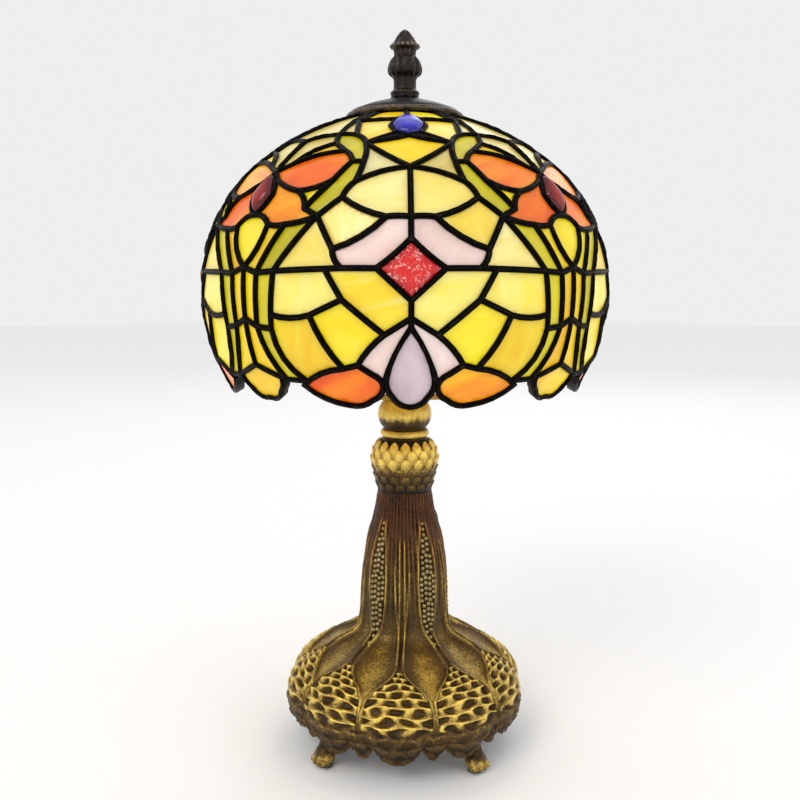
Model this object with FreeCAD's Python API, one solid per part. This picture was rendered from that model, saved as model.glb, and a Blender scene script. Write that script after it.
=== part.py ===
"""Stained glass table lamp: leaded dome shade on a cast, four-footed base.

Millimetres, +Z up. The origin is on the table, under the column's axis. The lamp's front
faces -Y and the cord inlet is at the back, on +Y. Angles round the axis are in degrees,
0 at the front and growing towards +X.
"""
import FreeCAD, Part
import math
import os

V = FreeCAD.Vector
os.makedirs("parts", exist_ok=True)

# ---------------------------------------------------------------- driving dimensions
# shade
SHADE_RADIUS = 101.5          # widest radius, over the solder
CROWN_DROP = 14.5             # how much flatter the crown is than half a ball
SHOULDER_TIGHTER = 9.0        # how much smaller the shoulder's radius in section is than the dome's rise
SKIRT_TIGHTER = 10.0          # how much smaller the skirt's radius in section is than the dome's radius
SKIRT_DEPTH = 61.0            # how far below its widest level the dome is drawn before the hem is cut
SHADE_OVER_COLUMN = 103.5     # column's top up to the shade's widest level
CROWN_HOLE = 24.0             # radius of the hole that the crown wheel closes
PANELS = 4                    # the pattern repeats this often round the shade
LEAD_WIDTH = 2.6
LEAD_THICKNESS = 4.3
GLASS_THICKNESS = 2.6
GLASS_SINK = 0.9              # how far the glass lies below the top of the solder
JEWEL_PROUD = 2.6             # how far a jewel's crown stands over its own pane
JEWEL_BEVEL = 2.2

# crown wheel, vent cap and finial
WHEEL_RIM = 3.0
WHEEL_THICKNESS = 3.0
WHEEL_HUB = 9.0
SPOKES = 3
SPOKE_WIDTH = 5.0
CAP_OVERLAP = 4.9             # how far the cap reaches over the crown's hole
CAP_RISE = 12.4               # rim to the gallery's seat
CAP_SHEET = 1.4
GALLERY_RADIUS = 6.9
GALLERY_WALL = 1.4
VENTS = 10
VENT_RADIUS = 1.1
VENT_OVER_HUB = 9.8
FINIAL_HEIGHT = 31.0

# harp
STUD_RADIUS = 3.1
STUD_LENGTH = 24.0
HARP_WIRE = 1.7               # radius of the wire
HARP_HALF_WIDTH = 43.0
HARP_TAB_THICKNESS = 2.6
HARP_SHOULDER = 17.0          # half the length of the hoop's flat top
STUD_FLANGE = 1.4
SADDLE_STRIP = 1.8
SADDLE_WIDTH = 12.0
SADDLE_REACH = 21.0           # axis to each upright
SADDLE_RISE = 12.0
SLEEVE_LENGTH = 14.0
SLEEVE_WALL = 1.0
SLEEVE_BORE = 3.3

# lamp pipe
PIPE_RADIUS = 5.0
PIPE_BORE = 3.8
NUT_THICKNESS = 3.0
NUT_FLATS = 14.0
WASHER_THICKNESS = 1.2
WASHER_RADIUS = 9.0

# cast base
WALL = 3.0
BASE_TURN = -5.0              # the cast base sits turned a little against the shade
SKIRT_BOTTOM = 11.0
SKIRT_TUCK = 5.7              # how far the skirt's hem is drawn in from the widest radius
BASE_RADIUS = 60.2
BASE_WIDEST_LEVEL = 27.0
BASE_SHOULDER = 57.5          # height at which the bulb meets the column
COLUMN_FOOT_RADIUS = 24.4
COLUMN_WAIST_RADIUS = 14.1
COLUMN_TOP = 134.0
LOBES = 10
NOTCH_RADIUS = 4.0
NOTCH_SPREAD = 12.4           # angle from a lobe's middle to its notch
LEDGE_BOTTOM = 20.5
LEDGE_THICKNESS = 3.5
LEDGE_WIDTH = 20.2            # from the base's widest radius in to the ledge's hole
PLATE_LAP = 3.0               # how far the bottom plate laps the ledge
PLATE_THICKNESS = 1.5
WEIGHT_PLAY = 2.0             # counterweight inside the ledge's hole
WEIGHT_HEIGHT = 14.0
WEIGHT_HOLE = 12.0
FEET = 4
FOOT_SET_IN = 7.2             # feet stand this far inside the base's widest radius
FOOT_SPLAY = 3.5
ANKLE_RADIUS = 4.6
PAW_RADIUS = 6.4
PAD_RADIUS = 3.8
PAD_THICKNESS = 1.0

# neck castings, stacked on the column
COLLAR_HEIGHT = 26.8
COLLAR_RADIUS = 17.5
RING_HEIGHT = 6.4
RING_RADIUS = 12.6
BALL_HEIGHT = 14.4
BALL_RADIUS = 13.9
SEAT_RADIUS = 12.2

# lampholder and bulb, small screw size
HOLDER_RADIUS = 14.0
HOLDER_SHEET = 0.6
HOLDER_HEIGHT = 34.0
HOLDER_CUP = 9.0
SCREW_SHELL_RADIUS = 7.2      # inside radius of the lampholder's screw shell
SCREW_SHELL_SHEET = 0.5
SCREW_SHELL_LENGTH = 18.0
CONTACT_RADIUS = 2.4
BULB_CAP_RADIUS = 6.9
BULB_CAP_LENGTH = 20.0
BULB_RADIUS = 22.5
BULB_LENGTH = 78.0
GLASS_WALL = 0.8
KEY_SHAFT_RADIUS = 1.5
KEY_REACH = 32.0
KEY_PADDLE = (3.0, 11.0, 9.0)

# cord inlet
INLET_LEVEL = 29.0
BUSH_BORE = 2.6
BUSH_BARREL = 4.2
BUSH_FLANGE = 6.0
BUSH_FLANGE_THICKNESS = 2.0

# clearances
SHAFT_FIT = 0.05              # a shaft that turns in its hole
SEAT_GAP = 0.05               # two flat faces that slide on each other
FREE_GAP = 0.3                # pieces that pass each other without touching


# ---------------------------------------------------------------- sizes that follow
SHADE_LEVEL = COLUMN_TOP + SHADE_OVER_COLUMN
SHADE_RISE = SHADE_RADIUS - CROWN_DROP
SHOULDER_ARC = SHADE_RISE - SHOULDER_TIGHTER
SKIRT_ARC = SHADE_RADIUS - SKIRT_TIGHTER
CAP_RADIUS = CROWN_HOLE + CAP_OVERLAP
SKIRT_BOTTOM_RADIUS = BASE_RADIUS - SKIRT_TUCK
LEDGE_RADIUS = BASE_RADIUS - LEDGE_WIDTH
PLATE_RADIUS = LEDGE_RADIUS + PLATE_LAP
PLATE_BOTTOM = LEDGE_BOTTOM - PLATE_THICKNESS
WEIGHT_RADIUS = LEDGE_RADIUS - WEIGHT_PLAY
WEIGHT_FOOT = LEDGE_BOTTOM
FOOT_CIRCLE = BASE_RADIUS - FOOT_SET_IN
BUSH_SEAT = BASE_RADIUS - 1.2
PIPE_FOOT = PLATE_BOTTOM - WASHER_THICKNESS - NUT_THICKNESS - 1.5


# ---------------------------------------------------------------- helpers
def turned(points):
    """Solid of revolution about Z from a closed outline of (radius, height) points."""
    wire = Part.makePolygon([V(r, 0, z) for r, z in points + points[:1]])
    return Part.Face(wire).revolve(V(0, 0, 0), V(0, 0, 1), 360)


def turned_edges(edges):
    return Part.Face(Part.Wire(edges)).revolve(V(0, 0, 0), V(0, 0, 1), 360)


def line(a, b):
    return Part.LineSegment(V(a[0], 0, a[1]), V(b[0], 0, b[1])).toShape()


def spline_through(points):
    curve = Part.BSplineCurve()
    curve.interpolate([V(r, 0, z) for r, z in points])
    return curve


def disc(radius, bottom, height, hole=0.0):
    body = Part.makeCylinder(radius, height, V(0, 0, bottom))
    if hole:
        body = body.cut(Part.makeCylinder(hole, height, V(0, 0, bottom)))
    return body


def hexagon(flats, bottom, height, hole):
    corner = flats / math.sqrt(3)
    points = [V(corner * math.cos(math.radians(60 * i)), corner * math.sin(math.radians(60 * i)), bottom)
              for i in range(7)]
    prism = Part.Face(Part.makePolygon(points)).extrude(V(0, 0, height))
    return prism.cut(Part.makeCylinder(hole, height, V(0, 0, bottom)))


def heading(angle):
    """Unit vector at an angle round the lamp, 0 at the front."""
    return V(math.sin(math.radians(angle)), -math.cos(math.radians(angle)), 0)


def spun(shape, angle):
    copy = shape.copy()
    copy.rotate(V(0, 0, 0), V(0, 0, 1), angle)
    return copy


def save(name, *solids):
    """One STEP file: a single solid, or a group of alike solids."""
    shape = solids[0] if len(solids) == 1 else Part.makeCompound(list(solids))
    shape.exportStep("parts/%s.step" % name)


# ---------------------------------------------------------------- dome section
LEVEL = V(0, 0, SHADE_LEVEL)
SHOULDER_CENTRE = SHADE_RADIUS - SHOULDER_ARC
SKIRT_CENTRE = SHADE_RADIUS - SKIRT_ARC
CROWN_ARC = (SHOULDER_CENTRE ** 2 + SHADE_RISE ** 2 - SHOULDER_ARC ** 2) / (2 * (SHADE_RISE - SHOULDER_ARC))
CROWN_CENTRE = SHADE_RISE - CROWN_ARC
CROWN_TURN = math.atan2(-CROWN_CENTRE, SHOULDER_CENTRE)
SKIRT_TURN = math.asin(SKIRT_DEPTH / SKIRT_ARC)


def dome_radius(rise, depth=0.0):
    """Radius of the dome at a height over its widest level, at a depth under the solder's top."""
    if rise < 0:
        return SKIRT_CENTRE + math.sqrt((SKIRT_ARC - depth) ** 2 - rise ** 2)
    if rise < (SHOULDER_ARC - depth) * math.sin(CROWN_TURN):
        return SHOULDER_CENTRE + math.sqrt((SHOULDER_ARC - depth) ** 2 - rise ** 2)
    return math.sqrt((CROWN_ARC - depth) ** 2 - (rise - CROWN_CENTRE) ** 2)


def dome_height(radius, depth=0.0):
    """Height over the table of the crown's surface at a radius."""
    return SHADE_LEVEL + CROWN_CENTRE + math.sqrt((CROWN_ARC - depth) ** 2 - radius ** 2)


def dome_section(depth):
    """Three tangent arcs from the crown down past the skirt, at a depth under the solder's top."""
    def on_arc(centre_r, centre_z, radius, turn):
        return V(centre_r + radius * math.cos(turn), 0, SHADE_LEVEL + centre_z + radius * math.sin(turn))

    crown, shoulder, skirt = CROWN_ARC - depth, SHOULDER_ARC - depth, SKIRT_ARC - depth
    crown_turns = (math.pi / 2, (math.pi / 2 + CROWN_TURN) / 2, CROWN_TURN)
    shoulder_turns = (CROWN_TURN, CROWN_TURN / 2, 0.0)
    skirt_turns = (0.0, -SKIRT_TURN / 2, -SKIRT_TURN)
    return [Part.Arc(*[on_arc(0, CROWN_CENTRE, crown, t) for t in crown_turns]).toShape(),
            Part.Arc(*[on_arc(SHOULDER_CENTRE, 0, shoulder, t) for t in shoulder_turns]).toShape(),
            Part.Arc(*[on_arc(SKIRT_CENTRE, 0, skirt, t) for t in skirt_turns]).toShape()]


def dome_shell(outer_depth, inner_depth):
    """Closed dome shell between two depths, open at the crown and below the skirt."""
    outer, inner = dome_section(outer_depth), dome_section(inner_depth)
    top = Part.makeLine(inner[0].Vertexes[0].Point, outer[0].Vertexes[0].Point)
    foot = Part.makeLine(outer[2].Vertexes[1].Point, inner[2].Vertexes[1].Point)
    wire = Part.Wire(Part.__sortEdges__([top] + outer + [foot] + inner))
    shell = Part.Face(wire).revolve(V(0, 0, 0), V(0, 0, 1), 360)
    return shell.cut(Part.makeCylinder(CROWN_HOLE, 2 * SHADE_RISE, LEVEL))


# ---------------------------------------------------------------- leading pattern
# Joints of the lead lines in one half panel: angle from the panel's middle, height over the
# widest level on a dome of the pattern's own rise and skirt. A flower's axis lies at 45 degrees,
# half way to the next panel's middle.
PATTERN_RISE = 87.0
PATTERN_SKIRT = 91.5
CROWN_LAP = 0.6                                        # how far the pattern runs on into the crown hole
EDGE = (dome_height(CROWN_HOLE) - SHADE_LEVEL + CROWN_LAP) * PATTERN_RISE / SHADE_RISE
JOINTS = {
    # crown
    "crown_mid": (0, EDGE), "crown_corner_in": (27, EDGE), "crown_corner_out": (34, EDGE),
    "crown_flower": (45, EDGE), "blue_tip": (0, 78), "blue_shoulder": (6, 76), "blue_side": (7.8, 72),
    "blue_foot_side": (4.8, 67.8), "blue_foot": (0, 66.5),
    "flank_corner": (26, 75.8), "flank_foot": (20.8, 67.4), "corner_foot": (29.2, 68.2),
    # shield, triangle and lens
    "shield_corner": (15.3, 62.8), "shield_foot": (0, 50.8), "lens_tip": (17.8, 37.8),
    "lens_crossing": (15.0, 44.6), "lens_foot": (0, 29.4), "lens_petal": (6, 29.4),
    # middle of the panel
    "jewel_top": (0, 20.6), "jewel_side": (8, 8.6), "jewel_foot": (0, -4.3), "four_leads": (0, -11.4),
    "petal_corner": (18.7, 16.4), "petal_foot": (16.3, 8.7), "wing_joint": (23.7, 30.2),
    "ray_corner": (20.4, 8.5), "ray_side": (16.2, -4.0), "ray_foot": (6.3, -18.2),
    "kite_corner": (24.5, -10.4),
    # hem of the panel
    "leaf_corner": (13.2, -31.0), "drop_top": (17.0, -32.6), "leaf_side": (9.6, -35.0),
    "leaf_foot": (7.0, -39.6), "tear_top": (0, -15.2), "tear_side": (6.2, -37.0), "tear_low": (4.6, -45.2),
    "tear_foot": (0, -49.4), "drop_low": (10.2, -46.4), "drop_foot": (17.0, -49.0), "drop_tip": (29.4, -40.6),
    # ribbon that frames the flower, outer side then inner side
    "ribbon_joint_1": (13.9, 53.6), "ribbon_end": (34.6, 7.8), "rail_outer": (35.7, -10.4),
    "rail_knee": (36.0, -16.4), "ribbon_foot": (28.2, -38.6),
    "inner_top": (27.2, 63.4), "inner_1": (17.6, 53.8), "inner_chip": (21.6, 45.6), "inner_2": (27.9, 33.6),
    "inner_3": (33.0, 27.2), "inner_4": (40.2, 7.2), "inner_5": (40.8, -15.6), "inner_6": (34.6, -38.4),
    # flower
    "bud_crossing": (45, 66.4), "flower_top": (45, 51.4), "sliver_foot": (21.4, 59.0), "sliver_tip": (39.6, 54.6),
    "wing_foot": (42.0, 47.6), "chip_corner": (32.0, 41.6), "oval_side": (40.7, 41.0), "oval_foot": (45, 32.2),
    "bell_foot": (38.6, 27.6), "heart_foot": (45, 9.8), "zigzag": (45, -12.3), "stave_foot": (45, -32.6),
    "tail_shoulder": (36.4, -37.6), "tail_side": (38.4, -44.2), "tail_foot": (45, -48.0),
}

# Lead lines that are not straight: how far the middle of each bows, in mm, to the left of the
# way from its first joint to its second, seen from outside with up as up.
BOWS = {
    ("blue_foot", "shield_corner"): -1.2, ("shield_foot", "shield_corner"): -1.3,
    ("shield_foot", "lens_crossing"): 1.1, ("lens_crossing", "lens_tip"): 0.7,
    ("lens_foot", "lens_petal"): 0.3, ("lens_petal", "lens_tip"): -1.4,
    ("lens_petal", "petal_corner"): -2.0, ("jewel_top", "jewel_side"): -0.6,
    ("petal_corner", "petal_foot"): 1.0, ("kite_corner", "rail_outer"): -1.2,
    ("rail_knee", "ribbon_foot"): 3.0, ("inner_5", "inner_6"): 1.4,
    ("drop_top", "kite_corner"): -1.0, ("ray_foot", "leaf_corner"): 0.9,
    ("tear_top", "tear_side"): 1.6, ("tear_side", "tear_low"): 1.0, ("tear_low", "tear_foot"): 1.2,
    ("tear_top", "leaf_foot"): 1.2, ("leaf_foot", "drop_low"): -1.4, ("drop_low", "drop_foot"): -1.4,
    ("drop_foot", "drop_tip"): -1.6, ("drop_tip", "drop_top"): -2.0, ("leaf_side", "leaf_foot"): -0.8,
    ("flank_foot", "shield_corner"): -0.8, ("ribbon_joint_1", "shield_corner"): 0.8,
    ("flank_foot", "corner_foot"): 0.6, ("inner_1", "sliver_foot"): 0.8,
    ("ribbon_joint_1", "lens_crossing"): -0.4, ("inner_top", "sliver_tip"): 1.8,
    ("sliver_foot", "sliver_tip"): 1.2, ("inner_chip", "chip_corner"): -1.6, ("chip_corner", "wing_foot"): -1.0,
    ("chip_corner", "inner_2"): -1.4, ("wing_joint", "inner_3"): -0.8, ("inner_3", "bell_foot"): -0.6,
    ("flower_top", "oval_side"): -0.4, ("oval_side", "oval_foot"): -1.4,
    ("oval_foot", "bell_foot"): -1.6, ("bell_foot", "heart_foot"): -2.2,
    ("tail_shoulder", "tail_side"): -1.0, ("tail_side", "tail_foot"): -2.2,
    ("corner_foot", "bud_crossing"): 1.2,
}
ARC_STEPS = 4

# Panes wholly inside a half panel: each is made eight times, four of them mirrored.
SIDE_PANES = {
    "glass_crown_strips": [["crown_mid", "blue_tip", "blue_shoulder", "flank_corner", "crown_corner_in"]],
    "glass_crown_flanks": [["blue_shoulder", "blue_side", "blue_foot_side", "shield_corner", "flank_foot",
                            "flank_corner"]],
    "glass_crown_corners": [["crown_corner_in", "flank_corner", "flank_foot", "corner_foot",
                             "crown_corner_out"]],
    "glass_small_triangles": [["shield_corner", "shield_foot", "lens_crossing", "ribbon_joint_1"]],
    "glass_lens_halves": [["shield_foot", "lens_foot", "lens_petal", "lens_tip", "lens_crossing"]],
    "glass_cream_quads": [["lens_tip", "lens_petal", "petal_corner", "wing_joint"]],
    "glass_lilac_wings": [["lens_foot", "jewel_top", "jewel_side", "petal_foot", "petal_corner",
                           "lens_petal"]],
    "glass_big_triangles": [["wing_joint", "petal_corner", "petal_foot", "ray_corner", "ribbon_end"]],
    "glass_side_blocks": [["ribbon_end", "ray_corner", "ray_side", "kite_corner", "rail_outer"]],
    "glass_sunrays": [["jewel_side", "jewel_foot", "four_leads", "ray_foot", "ray_side", "ray_corner",
                       "petal_foot"]],
    "glass_kites": [["ray_side", "ray_foot", "leaf_corner", "drop_top", "kite_corner"]],
    "glass_outer_blocks": [["kite_corner", "drop_top", "drop_tip", "ribbon_foot", "rail_knee",
                            "rail_outer"]],
    "glass_lilac_leaves": [["four_leads", "tear_top", "leaf_foot", "leaf_side", "leaf_corner", "ray_foot"]],
    "glass_orange_drops": [["drop_top", "leaf_corner", "leaf_side", "leaf_foot", "drop_low", "drop_foot",
                            "drop_tip"]],
    "glass_ribbons": [["ribbon_joint_1", "inner_1", "sliver_foot", "inner_top", "corner_foot", "flank_foot",
                       "shield_corner"],
                      ["inner_1", "ribbon_joint_1", "lens_crossing", "lens_tip", "wing_joint", "inner_2",
                       "inner_chip"],
                      ["wing_joint", "ribbon_end", "inner_4", "inner_3"],
                      ["ribbon_end", "rail_outer", "rail_knee", "inner_5", "inner_4"],
                      ["rail_knee", "ribbon_foot", "inner_6", "inner_5"]],
    "glass_crescents": [["corner_foot", "inner_top", "sliver_tip", "flower_top", "bud_crossing"]],
    "glass_slivers": [["inner_top", "sliver_foot", "sliver_tip"]],
    "glass_orange_wings": [["sliver_foot", "inner_1", "inner_chip", "chip_corner", "wing_foot",
                            "flower_top", "sliver_tip"]],
    "glass_orange_bells": [["wing_foot", "chip_corner", "inner_2", "wing_joint", "inner_3", "bell_foot",
                            "oval_foot", "oval_side"]],
    "glass_amber_trims": [["inner_chip", "inner_2", "chip_corner"],
                          ["inner_3", "inner_4", "heart_foot", "bell_foot"]],
    "glass_staves": [["heart_foot", "inner_4", "inner_5", "zigzag"],
                     ["zigzag", "inner_5", "inner_6", "tail_shoulder", "stave_foot"]],
}
# Panes that straddle a panel's middle or a flower's axis: one side from top to bottom.
MIDDLE_PANES = {
    "glass_shields": ["blue_foot", "shield_corner", "shield_foot"],
    "glass_teardrops": ["tear_top", "tear_side", "tear_low", "tear_foot"],
    "jewel_blue_drops": ["blue_tip", "blue_shoulder", "blue_side", "blue_foot_side", "blue_foot"],
    "jewel_red_squares": ["jewel_top", "jewel_side", "jewel_foot"],
}
FLOWER_PANES = {
    "glass_crown_fans": ["crown_flower", "crown_corner_out", "corner_foot", "bud_crossing"],
    "glass_amber_hearts": ["oval_foot", "bell_foot", "heart_foot"],
    "glass_tail_petals": ["stave_foot", "tail_shoulder", "tail_side", "tail_foot"],
    "jewel_ruby_ovals": ["flower_top", "oval_side", "oval_foot"],
}
HEM = ["tear_foot", "tear_low", "tear_side", "leaf_foot", "drop_low", "drop_foot", "drop_tip", "ribbon_foot",
       "inner_6", "tail_shoulder", "tail_side", "tail_foot"]
HALF_PANEL = 180.0 / PANELS
BELOW_HEM = -58.0


def direction(angle, rise):
    """From the dome's middle towards a point of its surface."""
    turn = angle * HALF_PANEL / 45.0
    rise = rise * (SHADE_RISE / PATTERN_RISE if rise > 0 else SKIRT_ARC / PATTERN_SKIRT)
    return heading(turn) * dome_radius(rise) + V(0, 0, rise)


def bowed(a, b):
    """Points between two joints, without the joints, along the lead line that joins them."""
    bow = BOWS.get((a, b), 0.0) - BOWS.get((b, a), 0.0)
    if not bow:
        return []
    (angle_a, rise_a), (angle_b, rise_b) = JOINTS[a], JOINTS[b]
    start, end = direction(angle_a, rise_a), direction(angle_b, rise_b)
    out = (start + end).normalize()
    left = out.cross(end - start).normalize()
    steps = [i / ARC_STEPS for i in range(1, ARC_STEPS)]
    return [start * (1 - t) + end * t + left * (4 * bow * t * (1 - t)) for t in steps]


def outline(names, closed=True):
    """Directions along the lead lines through the named joints."""
    points = []
    following = names[1:] + names[:1] if closed else names[1:]
    for a, b in zip(names, following):
        points += [direction(*JOINTS[a])] + bowed(a, b)
    return points if closed else points + [direction(*JOINTS[names[-1]])]


def mirrored(points, angle):
    """The same directions on the other side of the upright plane at an angle."""
    across = heading(angle + 90)
    return [p - across * (2 * p.dot(across)) for p in points]


def middle_of(points):
    total = V(0, 0, 0)
    for p in points:
        total += V(p).normalize()
    return total.normalize()


def inset(points, margins):
    """Draws each side of an outline in by its margin; sides that vanish in a narrow tip are dropped."""
    centre = middle_of(points)
    across = centre.cross(V(0, 0, 1)).normalize()
    upward = across.cross(centre)
    reach = sum(p.Length for p in points) / len(points)
    flat = [(p.dot(across) * reach / p.dot(centre), p.dot(upward) * reach / p.dot(centre)) for p in points]
    pairs = list(zip(flat, flat[1:] + flat[:1]))
    side = math.copysign(1.0, sum(x0 * y1 - x1 * y0 for (x0, y0), (x1, y1) in pairs))
    sides = []
    for ((x0, y0), (x1, y1)), margin in zip(pairs, margins):
        length = math.hypot(x1 - x0, y1 - y0)
        ux, uy = (x1 - x0) / length, (y1 - y0) / length
        nx, ny = -side * uy, side * ux
        sides.append((ux, uy, nx, ny, nx * x0 + ny * y0 + margin, x0 + nx * margin, y0 + ny * margin))
    while True:
        corners = [meeting(before, at) for before, at in zip(sides[-1:] + sides[:-1], sides)]
        runs = [(x1 - x0) * s[0] + (y1 - y0) * s[1]
                for s, (x0, y0), (x1, y1) in zip(sides, corners, corners[1:] + corners[:1])]
        if min(runs) > 0:
            return [centre * reach + across * x + upward * y for x, y in corners]
        sides.pop(runs.index(min(runs)))


def meeting(before, at):
    """Where two drawn-in sides cross, or the second's own start where they are nearly in line."""
    cross = before[2] * at[3] - before[3] * at[2]
    if abs(cross) < 0.004:
        return at[5], at[6]
    return (before[4] * at[3] - at[4] * before[3]) / cross, (before[2] * at[4] - at[2] * before[4]) / cross


def cutter(points, near=0.62, far=1.45):
    """Frustum whose sides all run through the dome's middle, over an outline of directions."""
    centre = middle_of(points)
    rings = []
    for share in (near, far):
        rings.append([p * (SHADE_RADIUS * share / p.dot(centre)) + LEVEL for p in points])
    faces = [Part.Face(Part.makePolygon(ring + ring[:1])) for ring in rings]
    inner, outer = rings
    for i in range(len(points)):
        j = (i + 1) % len(points)
        faces.append(Part.Face(Part.makePolygon([inner[i], inner[j], outer[j], outer[i], inner[i]])))
    solid = Part.makeSolid(Part.makeShell(faces))
    if solid.Volume < 0:
        solid.reverse()
    return solid


def all_round(shape, both_hands):
    """Copies of one piece round the shade, and their mirror images where it has a hand."""
    hands = [shape, shape.mirror(V(0, 0, 0), V(1, 0, 0))] if both_hands else [shape]
    return [spun(hand, 360.0 / PANELS * i) for hand in hands for i in range(PANELS)]


def pane_outlines():
    """For every kind of pane, the outlines of its glass and whether it comes in both hands."""
    kinds = {}
    for name, loops in SIDE_PANES.items():
        kinds[name] = ([between_leads(outline(loop)) for loop in loops], True)
    for panes, axis in ((MIDDLE_PANES, 0.0), (FLOWER_PANES, HALF_PANEL)):
        for name, half in panes.items():
            one = outline(half, closed=False)
            other = mirrored(one, axis)[::-1]
            if one[0].getAngle(other[-1]) < 1e-6:
                other = other[:-1]
            if one[-1].getAngle(other[0]) < 1e-6:
                other = other[1:]
            kinds[name] = ([between_leads(one + other)], False)
    return kinds


def between_leads(points):
    return inset(points, [LEAD_WIDTH / 2] * len(points))


def hem_cutter():
    """Everything below the hem of one whole panel, from flower axis to flower axis."""
    half = outline(HEM, closed=False)
    beyond = 1.5
    low = [direction(45 + beyond, BELOW_HEM), direction(0, BELOW_HEM), direction(-45 - beyond, BELOW_HEM)]
    right = half + [direction(45 + beyond, JOINTS["tail_foot"][1])]
    left = mirrored(right, 0.0)[::-1]
    points = left[:-1] + right + low
    margins = [LEAD_WIDTH / 2] * (len(points) - len(low) - 1) + [0.0] * (len(low) + 1)
    return cutter(inset(points, margins))


def make_shade_glass(kinds):
    """Panes with the dome's own curvature, one solid for each piece of glass."""
    shell = dome_shell(GLASS_SINK, GLASS_SINK + GLASS_THICKNESS)
    raised = dome_shell(GLASS_SINK - JEWEL_PROUD, GLASS_SINK + GLASS_THICKNESS)
    for name, (outlines, both_hands) in kinds.items():
        panes = [shell.common(cutter(points)).Solids[0] for points in outlines]
        if name.startswith("jewel_"):
            crown = cutter(inset(outlines[0], [JEWEL_BEVEL] * len(outlines[0])))
            panes = [panes[0].fuse(raised.common(crown)).removeSplitter().Solids[0]]
        save(name, *[copy for pane in panes for copy in all_round(pane, both_hands)])


def make_came_lattice(kinds):
    """All the solder and foil of the shade as one network, with a window for every pane."""
    lattice = dome_shell(0.0, LEAD_THICKNESS)
    tools = [copy for outlines, both in kinds.values() for points in outlines
             for copy in all_round(cutter(points), both)]
    tools += all_round(hem_cutter(), False)
    save("came_lattice", lattice.cut(tools).Solids[0])


# ---------------------------------------------------------------- crown of the shade
CROWN_TOP = dome_height(CROWN_HOLE)
WHEEL_TOP = CROWN_TOP - 0.4
WHEEL_BOTTOM = WHEEL_TOP - WHEEL_THICKNESS
HUB_HOLE = STUD_RADIUS + FREE_GAP
CAP_RIM = dome_height(CAP_RADIUS - CAP_SHEET) + FREE_GAP
CAP_TOP = CAP_RIM + CAP_RISE
HARP_TOP = WHEEL_BOTTOM - SEAT_GAP
FINIAL_SEAT = CAP_TOP + SEAT_GAP
INSERT_RADIUS = STUD_RADIUS + 1.2


def make_crown_wheel():
    """Brass wheel soldered into the crown: it hangs the shade on the harp's stud."""
    rim = disc(CROWN_HOLE, WHEEL_BOTTOM, WHEEL_THICKNESS, CROWN_HOLE - WHEEL_RIM)
    hub = disc(WHEEL_HUB, WHEEL_BOTTOM, WHEEL_THICKNESS)
    reach = CROWN_HOLE - WHEEL_RIM / 2
    spoke = Part.makeBox(reach, SPOKE_WIDTH, WHEEL_THICKNESS * 0.6, V(0, -SPOKE_WIDTH / 2, WHEEL_BOTTOM))
    spokes = [spun(spoke, 360.0 / SPOKES * i + 90) for i in range(SPOKES)]
    wheel = rim.fuse([hub] + spokes).cut(disc(HUB_HOLE, WHEEL_BOTTOM, WHEEL_THICKNESS))
    save("crown_wheel", wheel.removeSplitter())


def make_vent_cap():
    """Spun brass cap over the crown: a curved brim, and a pierced gallery that lets heat out."""
    neck = GALLERY_RADIUS
    brim_top = [(CAP_RADIUS, CAP_RIM), (CAP_RADIUS, CAP_RIM + 1.2), (CAP_RADIUS - 2.4, CAP_RIM + 3.8),
                (19.9, CAP_RIM + 6.4), (12.4, CAP_RIM + 8.6), (neck + 1.4, CAP_RIM + 9.6), (neck, CAP_TOP - 1.6)]
    gallery = [(neck, CAP_TOP), (HUB_HOLE, CAP_TOP), (HUB_HOLE, WHEEL_TOP), (HUB_HOLE + 1.4, WHEEL_TOP),
               (HUB_HOLE + 1.4, CAP_TOP - CAP_SHEET), (neck - GALLERY_WALL, CAP_TOP - CAP_SHEET)]
    brim_under = [(neck - GALLERY_WALL, CAP_RIM + 8.4), (12.0, CAP_RIM + 7.2), (19.5, CAP_RIM + 5.0),
                  (CAP_RADIUS - 3.2, CAP_RIM + 2.4), (CAP_RADIUS - CAP_SHEET, CAP_RIM)]
    cap = turned(brim_top + gallery + brim_under)
    level = WHEEL_TOP + VENT_OVER_HUB
    outside = neck - GALLERY_WALL - 0.4
    vents = [Part.makeCylinder(VENT_RADIUS, 2 * GALLERY_WALL + 2, heading(360.0 / VENTS * i) * outside
                               + V(0, 0, level), heading(360.0 / VENTS * i)) for i in range(VENTS)]
    save("vent_cap", cap.cut(vents))


def make_finial():
    """Cast finial and the threaded insert pressed up into it."""
    base = FINIAL_SEAT
    profile = [(7.2, 0), (7.2, 0.6), (6.5, 1.4), (5.7, 2.6), (5.7, 6.8), (6.6, 8.4), (8.0, 9.8), (8.4, 11.4),
               (8.3, 12.9), (7.2, 15.8), (5.4, 18.6), (5.4, 20.2), (6.9, 22.3), (6.9, 23.5), (5.7, 24.5),
               (3.9, 27.3), (1.8, 30.1), (0, 31.0)]
    points = [(r, base + z * FINIAL_HEIGHT / profile[-1][1]) for r, z in profile]
    depth = CAP_TOP_TO_STUD_END + 2.0
    hole = INSERT_RADIUS + SHAFT_FIT
    points = points + [(0, base + depth), (hole, base + depth), (hole, base)]
    save("finial", turned(points))
    insert = disc(INSERT_RADIUS, base, depth - 0.5, STUD_RADIUS + 0.1)
    save("finial_insert", insert)


# ---------------------------------------------------------------- harp
STUD_FOOT = HARP_TOP - HARP_TAB_THICKNESS
STUD_END = HARP_TOP + STUD_LENGTH
CAP_TOP_TO_STUD_END = STUD_END - CAP_TOP
BALL_TOP = COLUMN_TOP + COLLAR_HEIGHT + RING_HEIGHT + BALL_HEIGHT
SADDLE_TOP = BALL_TOP + SADDLE_STRIP
ARM_TOP = SADDLE_TOP + SADDLE_RISE


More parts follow.
